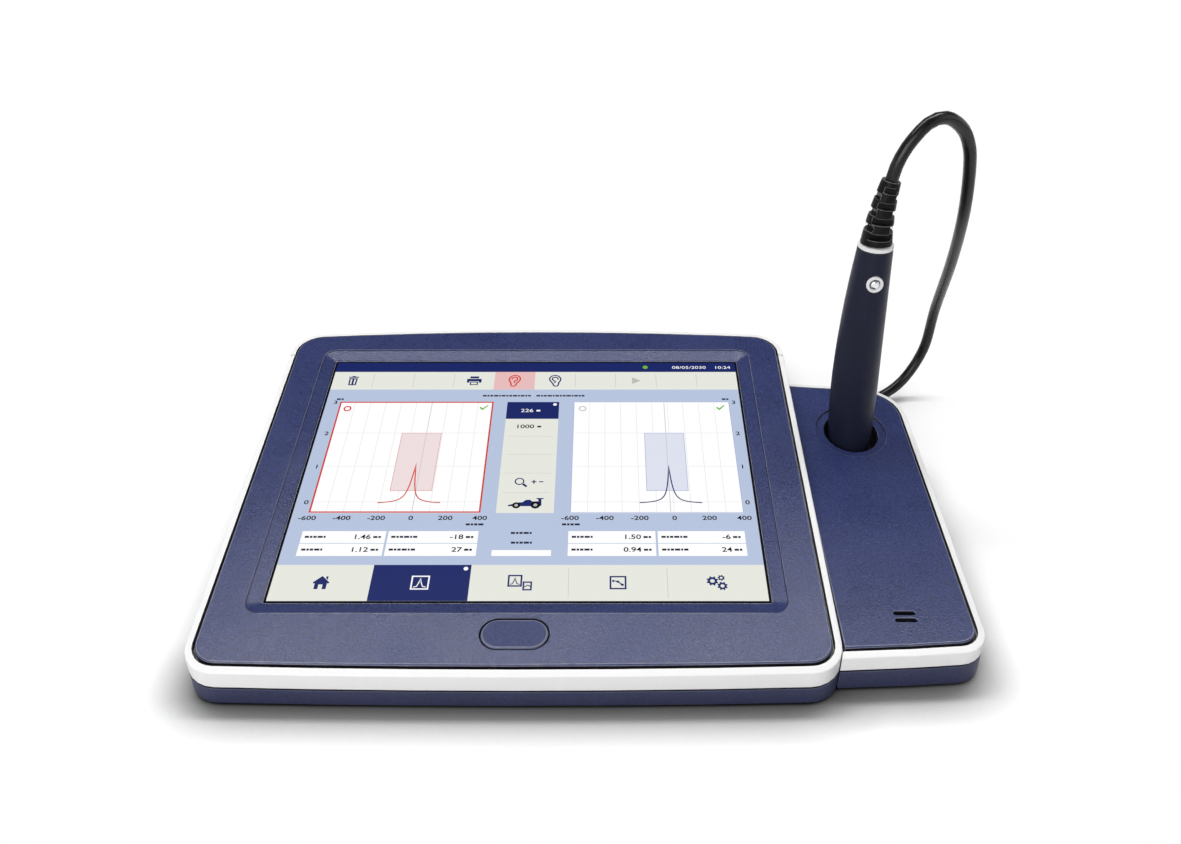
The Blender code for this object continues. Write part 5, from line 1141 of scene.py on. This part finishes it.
class TYMPANOMETER_OT_screen(bpy.types.Operator):
    """The lit picture on the glass: bars, two graphs, value boxes, tabs, icons and numbers"""

    bl_idname = "tympanometer.screen"
    bl_label = "Add Screen Picture"

    def execute(self, context):
        flat_layer("picture_field", [rectangle(0, 0, PICTURE_WIDTH, PICTURE_HEIGHT)], 0, "field")
        self.add_bars()
        self.add_tabs()
        self.add_graph("left", 7.2, 85.5)
        self.add_graph("right", 126.4, 205.5)
        self.add_choices()
        self.add_values()
        return {"FINISHED"}

    def add_bars(self):
        flat_layer("status_bar", [rectangle(0, BAR_LOW, PICTURE_WIDTH, PICTURE_HEIGHT)], 1, "ink")
        flat_layer("status_light", [disc(163.6, 154.7, 1.35)], 2, "green")
        clock = (("08/05/2030", 195.8, 154.4, 2.3, "RIGHT"), ("10:24", 208.8, 154.4, 2.3, "RIGHT"))
        number_layer("status_clock", clock, 2, "white", 0)
        flat_layer("tool_bar", [rectangle(0, TOOLS_LOW, PICTURE_WIDTH, BAR_LOW)], 1, "paper")
        cell = PICTURE_WIDTH / 10
        flat_layer("tool_chosen", [rectangle(4 * cell, TOOLS_LOW, 5 * cell, BAR_LOW)], 2, "chosen")
        lines = uprights([i * cell for i in (1, 2, 3, 6, 7, 8, 9)], TOOLS_LOW + 2, BAR_LOW - 2)
        flat_layer("tool_dividers", lines, 2, "pink line")
        middle = (TOOLS_LOW + BAR_LOW) / 2
        left_ear = [stroke([(-x, y) for x, y in line], EAR_PEN) for line in EAR]
        icons = moved(BIN, cell * 0.5, middle) + moved(PRINTER, cell * 3.5, middle)
        icons += moved(left_ear, cell * 5.5, middle, EAR_SIZE)
        flat_layer("tool_icons", icons, 3, "ink")
        right_ear = [stroke(line, EAR_PEN) for line in EAR]
        flat_layer("tool_right_ear", moved(right_ear, cell * 4.5, middle, EAR_SIZE), 3, "red")
        flat_layer("tool_play", moved(PLAY, cell * 7.5, middle), 3, "grey")

    def add_tabs(self):
        cell = PICTURE_WIDTH / 5
        flat_layer("tab_bar", [rectangle(0, 0, PICTURE_WIDTH, TABS_HIGH)], 1, "paper")
        flat_layer("tab_chosen", [rectangle(cell, 0, 2 * cell, TABS_HIGH)], 2, "ink")
        lines = uprights([i * cell for i in (3, 4)], 1.5, TABS_HIGH - 1.5)
        flat_layer("tab_dividers", lines, 2, "pink line")
        middle = TABS_HIGH / 2
        white = moved(frame_lines(-3.9, -3.75, 3.9, 3.75, 0.65), cell * 1.5, middle)
        white.append(stroke(moved([PEAK], cell * 1.5, middle)[0], THIN_PEN))
        white.append(disc(2 * cell - 2.3, TABS_HIGH - 2.1, 1.0))
        flat_layer("tab_chosen_icon", white, 3, "white")
        icons = moved(HOUSE, cell * 0.5, middle)
        icons += self.two_graphs(cell * 2.5, middle)
        icons += moved(frame_lines(-3.6, -3.6, 3.6, 3.6, 0.75), cell * 3.5, middle)
        icons += moved([LINKED_POINTS], cell * 3.5, middle)
        for x, y, radius, teeth in ((-1.9, 0.9, 2.6, 8), (2.2, -1.8, 2.3, 8), (2.0, 2.6, 1.6, 7)):
            icons += gear(cell * 4.5 + x, middle + y, radius, teeth)
        flat_layer("tab_icons", icons, 3, "ink")

    def two_graphs(self, x, y):
        """Two small framed graphs, one behind the other."""
        lines = moved(frame_lines(-4.9, -2.2, 1.3, 4.2, 0.75), x, y)
        lines.append(stroke(moved([PEAK], x - 1.8, y + 1.0, 0.8)[0], THIN_PEN))
        lines += moved(frame_lines(1.6, -4.2, 5.6, 0.6, 0.7), x, y)
        lines.append(stroke(moved([HILL], x + 3.6, y)[0], THIN_PEN))
        return lines

    def add_graph(self, side, low, high):
        left = side == "left"
        tint = "pink" if left else "blue"
        step = (high - low) / 10

        def layer(part, outlines, level, finish):
            flat_layer(f"{side}_{part}", outlines, level, finish)

        layer("graph", [rectangle(low, GRAPH_LOW, high, GRAPH_HIGH)], 1, "white")
        across = low + 0.6, high - 0.6
        upwards = GRAPH_LOW + 0.6, GRAPH_HIGH - 0.6
        layer("columns", uprights([low + step * i for i in range(1, 10)], *upwards, 0.2), 2, "grid")
        layer("rows", levels([BASELINE + UNIT * i for i in range(3)], *across, 0.2), 3, "grid")
        start, end = (42.0, 61.7) if left else (161.6, 181.2)
        norm = start, BASELINE + 0.3 * UNIT, end, BASELINE + 2 * UNIT
        layer("norm", [rectangle(*norm)], 4, tint + " box")
        layer("norm_edge", frame_lines(*norm, 0.3), 5, tint + " edge")
        zero = low + step * (6 if left else 5.8)
        layer("zero", uprights([zero], *upwards, 0.36), 6, "line")
        middle, top = (52.0, 82.4) if left else (172.6, 80.8)
        curve = moved([peak_curve(BASELINE - 0.6, top, 14.4)], middle, 0)[0]
        layer("curve", [stroke(curve, 0.55)], 7, "red" if left else "ink")
        border = frame_lines(low, GRAPH_LOW, high, GRAPH_HIGH, 0.8 if left else 0.3)
        layer("border", border, 8, "red" if left else "blue edge")
        layer("mark", ring(low + 4.5, GRAPH_HIGH - 5.2, 2.0, 0.75), 7, "red" if left else "line")
        layer("tick", moved([TICK], high - 4.8, GRAPH_HIGH - 4.8, 1.25), 7, "green")
        numbers = []
        for i, text in enumerate(("-600", "-400", "-200", "0", "200", "400")):
            numbers.append((text, low + 2 * step * i, GRAPH_LOW - 3.2, 2.6, "CENTER"))
        for i in range(4):
            x = low - 2.4 if left else high + 2.4
            numbers.append((str(i), x, BASELINE + UNIT * i - 0.4, 2.6, "CENTER"))
        number_layer(side + "_scale", numbers, 3, "number")
        pressure, volume = (high - 6.0, low - 2.2) if left else (low - 3.5, high - 3.4)
        units = dashes(pressure, pressure + 8.0, GRAPH_LOW - 7.0)
        units += dashes(volume, volume + 4.8, GRAPH_HIGH + 2.2)
        layer("units", units, 3, "word")

    def add_choices(self):
        low, high = 92.5, 118.9
        cell = (GRAPH_HIGH - GRAPH_LOW) / 6
        flat_layer("choice_column", [rectangle(low, GRAPH_LOW, high, GRAPH_HIGH)], 1, "paper")
        flat_layer("choice_chosen", [rectangle(low, GRAPH_HIGH - cell, high, GRAPH_HIGH)], 2, "ink")
        lines = levels([GRAPH_LOW + cell * i for i in (1, 2, 3, 4)], low + 2, high - 2, 0.24)
        flat_layer("choice_dividers", lines, 2, "line")
        flat_layer("choice_dot", [disc(high - 2.1, GRAPH_HIGH - 1.9, 0.95)], 3, "white")
        middle = (low + high) / 2
        first, second = GRAPH_HIGH - cell * 0.52, GRAPH_HIGH - cell * 1.45
        chosen = [("226", middle + 0.4, first, 2.5, "RIGHT")]
        number_layer("choice_chosen_number", chosen, 3, "white", 0)
        number_layer("choice_number", [("1000", middle + 1.4, second, 2.7, "RIGHT")], 2, "number")
        flat_layer("choice_chosen_unit", dashes(middle + 1.9, middle + 5.2, first), 3, "white")
        flat_layer("choice_unit", dashes(middle + 2.9, middle + 6.2, second), 2, "word")
        icons = moved(ring(-0.8, 0.9, 2.3, 0.6) + [LENS_HANDLE], middle - 2.8, GRAPH_LOW + cell * 1.5)
        icons += moved([PLUS], middle + 3.2, GRAPH_LOW + cell * 1.55)
        icons += moved([rectangle(-1.0, -0.3, 1.0, 0.3)], middle + 6.6, GRAPH_LOW + cell * 1.55)
        level = GRAPH_LOW + cell * 0.5 - 0.6
        flat_layer("choice_icons", icons + moved([CAR], middle, level), 3, "ink")
        rear, front = (middle - 4.2, level - 1.1), (middle + 4.6, level - 0.9)
        flat_layer("choice_tyres", [disc(*rear, 1.9), disc(*front, 2.2)], 4, "number")
        flat_layer("choice_hubs", [disc(*rear, 0.8), disc(*front, 0.9)], 5, "grey")

    def add_values(self):
        boxes, words, numbers = [], [], []
        texts = iter(("1.46", "-18", "1.12", "27", "1.50", "-6", "0.94", "24"))
        for low, middle, high in ((7.0, 45.0, 85.7), (125.9, 165.3, 204.7)):
            for y in (32.0, 24.6):
                for x0, x1 in ((low, middle - 0.5), (middle + 0.5, high)):
                    boxes.append(rectangle(x0, y, x1, y + VALUE_HIGH))
                    words += dashes(x0 + 1.6, x0 + (11.0 if x0 == low else 14.5), y + 3.6)
                    numbers.append((next(texts), x1 - 6.4, y + 3.5, 2.7, "RIGHT"))
                    words += dashes(x1 - 5.4, x1 - 1.6, y + 3.5)
        boxes.append(rectangle(92.5, 24.6, 118.6, 27.9))
        words += dashes(100.2, 111.0, 37.9) + dashes(100.6, 110.5, 32.2)
        words += dashes(79.5, 105.0, 131.6) + dashes(107.0, 133.2, 131.6)
        flat_layer("value_boxes", boxes, 1, "white")
        flat_layer("value_words", words, 2, "word")
        number_layer("value_numbers", numbers, 2, "number")


# The stage

CAMERA_PLACE = (0.00685, -0.39983, 0.3150)
CAMERA_PITCH = math.radians(31.8)
CAMERA_LENS = 31.35
CAMERA_SHIFT = -0.0126
LAMPS = {
    "overhead": ((0.0, 0.36, 1.18), (0.0, -0.05, 0.0), (1.5, 0.20)),
    "front": ((-0.5, -1.2, 0.75), (0.0, 0.0, 0.05), (1.2, 0.9)),
    "side": ((1.1, -0.2, 0.8), (0.05, 0.0, 0.08), (0.8, 0.8)),
}
FLOOR_SIZE = 8.0
FLOOR_BOUNCE = (0.7, 0.7, 0.7)
FLOOR_MIDDLE = (0.0, 0.045, 0.0)
FLOOR_REACH = (0.163, 0.155, 1.0)
FADE_START = 0.004
FADE_END = 0.07
# The floor's painted contact shadow: its reach, and where it eases from strong at the front to weak behind.
CONTACT_REACH = 0.026
CONTACT_FRONT = -0.105
CONTACT_BACK = -0.07
CONTACT_DARK = 2.6
CONTACT_LIGHT = 0.9
HORIZON_TOP = 0.18
HORIZON_FADE = 0.26


def area_lamp(name, place, target, size, power):
    way = Vector(target) - Vector(place)
    turn = way.to_track_quat("-Z", "Y").to_euler()
    bpy.ops.object.light_add(type="AREA", location=place, rotation=turn)
    lamp = bpy.context.object
    lamp.name = name
    set_all(lamp.data, shape="RECTANGLE", size=size[0], size_y=size[1], energy=power)


class TYMPANOMETER_OT_stage(bpy.types.Operator):
    """The camera at the picture's angle, a plain pale floor, soft lamps and a white surround"""

    bl_idname = "tympanometer.stage"
    bl_label = "Set Stage"

    def execute(self, context):
        choices = context.scene.tympanometer_stage
        context.scene.view_settings.view_transform = "Standard"
        turn = (math.pi / 2 - CAMERA_PITCH, 0, 0)
        bpy.ops.object.camera_add(location=CAMERA_PLACE, rotation=turn)
        camera = context.object
        set_all(camera.data, lens=CAMERA_LENS, sensor_width=36, shift_x=CAMERA_SHIFT, clip_start=0.01)
        context.scene.camera = camera
        self.add_floor(choices)
        self.add_surround(choices)
        for name, (place, target, size) in LAMPS.items():
            area_lamp("lamp_" + name, place, target, size, getattr(choices, name))
        return {"FINISHED"}

    def add_floor(self, choices):
        """A pale floor with a painted contact shadow from ambient occlusion, darker where the object nearly
        touches it, most of all at the front.
        """
        bpy.ops.object.select_all(action="DESELECT")
        bpy.ops.mesh.primitive_plane_add(size=FLOOR_SIZE)
        floor = bpy.context.object
        floor.name = "floor"
        tree, shader = new_material("Floor")
        rays = tree.nodes.new("ShaderNodeLightPath").outputs
        seen = reckoned(tree, rays["Is Camera Ray"], rays["Is Glossy Ray"], "MAXIMUM")
        plain = mixed(tree, seen, FLOOR_BOUNCE, choices.floor)
        # Painted contact shadow: ambient occlusion darkens the floor's colour, most strongly at the front.
        front = add_node(tree, "SeparateXYZ", {"Vector": object_place(tree)}).outputs["Y"]
        depth = mapped(tree, front, CONTACT_FRONT, CONTACT_BACK, CONTACT_DARK, CONTACT_LIGHT)
        near = add_node(tree, "AmbientOcclusion", {"Distance": CONTACT_REACH}).outputs["Color"]
        shade = add_node(tree, "Gamma", {"Color": near, "Gamma": depth}).outputs["Color"]
        shaded = mixed(tree, 1.0, plain, shade, "MULTIPLY")
        feed(tree, shader, {"Base Color": shaded, "Roughness": 0.9, "Specular IOR Level": 0.0})
        self.fade_to_white(tree, shader, rays["Is Camera Ray"])
        paint(floor, "Floor")

    def fade_to_white(self, tree, shader, seen):
        """Away from the object the camera sees the floor as plain white, past its soft shadow."""
        spot = object_place(tree)
        none = (0, 0, 0)
        for operation, value in zip(
            ("SUBTRACT", "ABSOLUTE", "SUBTRACT", "MAXIMUM"), (FLOOR_MIDDLE, none, FLOOR_REACH, none)
        ):
            spot = add_node(tree, "VectorMath", {0: spot, 1: value}, operation=operation).outputs["Vector"]
        reach = add_node(tree, "VectorMath", {0: spot}, operation="LENGTH").outputs["Value"]
        far = mapped(tree, reach, FADE_START, FADE_END, 0.0, 1.0, interpolation_type="SMOOTHSTEP")
        share = reckoned(tree, far, seen, "MULTIPLY")
        white = tree.nodes.new("ShaderNodeEmission").outputs["Emission"]
        blend = add_node(tree, "MixShader", {0: share, 1: shader.outputs["BSDF"], 2: white})
        feed(tree, tree.nodes["Material Output"], {"Surface": blend.outputs["Shader"]})

    def add_surround(self, choices):
        """White to the camera and at the horizon, darker overhead in reflections, dim as a light."""
        world = bpy.data.worlds.new("Surround")
        world.use_nodes = True
        bpy.context.scene.world = world
        tree = world.node_tree
        rays = tree.nodes.new("ShaderNodeLightPath").outputs
        way = tree.nodes.new("ShaderNodeTexCoord").outputs["Generated"]
        height = add_node(tree, "SeparateXYZ", {"Vector": way}).outputs["Z"]
        above = mapped(tree, height, HORIZON_TOP, HORIZON_TOP + HORIZON_FADE, 1.0, choices.ceiling)
        mirrored = mapped(tree, rays["Is Glossy Ray"], 0.0, 1.0, choices.sky, above)
        clear = reckoned(tree, rays["Is Camera Ray"], rays["Is Transmission Ray"], "MAXIMUM")
        strength = mapped(tree, clear, 0.0, 1.0, mirrored, 1.0)
        feed(tree, tree.nodes["Background"], {"Color": (1, 1, 1), "Strength": strength})


# The add-on

class TYMPANOMETER_PT_panel(bpy.types.Panel):
    """Sizes, colours and steps of the tympanometer"""

    bl_idname = "TYMPANOMETER_PT_panel"
    bl_label = "Tympanometer"
    bl_space_type = "VIEW_3D"
    bl_region_type = "UI"
    bl_category = "Tympanometer"

    def draw(self, context):
        for group in CHOICES:
            box = self.layout.box()
            choices = getattr(context.scene, group)
            for key in choices.__annotations__:
                box.prop(choices, key)
        for operator in OPERATORS:
            self.layout.operator(operator.bl_idname)


CHOICES = {
    "tympanometer_case": CaseChoices,
    "tympanometer_screen": ScreenChoices,
    "tympanometer_cord": CordChoices,
    "tympanometer_stage": StageChoices,
}
OPERATORS = (
    TYMPANOMETER_OT_finishes,
    TYMPANOMETER_OT_stage,
    TYMPANOMETER_OT_cord,
    TYMPANOMETER_OT_case,
    TYMPANOMETER_OT_screen,
)


def register():
    for group in CHOICES.values():
        bpy.utils.register_class(group)
    for operator in OPERATORS:
        bpy.utils.register_class(operator)
    bpy.utils.register_class(TYMPANOMETER_PT_panel)
    for name, group in CHOICES.items():
        setattr(bpy.types.Scene, name, PointerProperty(type=group))


def unregister():
    for name in CHOICES:
        delattr(bpy.types.Scene, name)
    bpy.utils.unregister_class(TYMPANOMETER_PT_panel)
    for operator in reversed(OPERATORS):
        bpy.utils.unregister_class(operator)
    for group in CHOICES.values():
        bpy.utils.unregister_class(group)


def main():
    register()
    bpy.ops.tympanometer.finishes()
    bpy.ops.tympanometer.stage()
    bpy.ops.tympanometer.cord()
    bpy.ops.tympanometer.case()
    bpy.ops.tympanometer.screen()


if __name__ == "__main__":
    main()
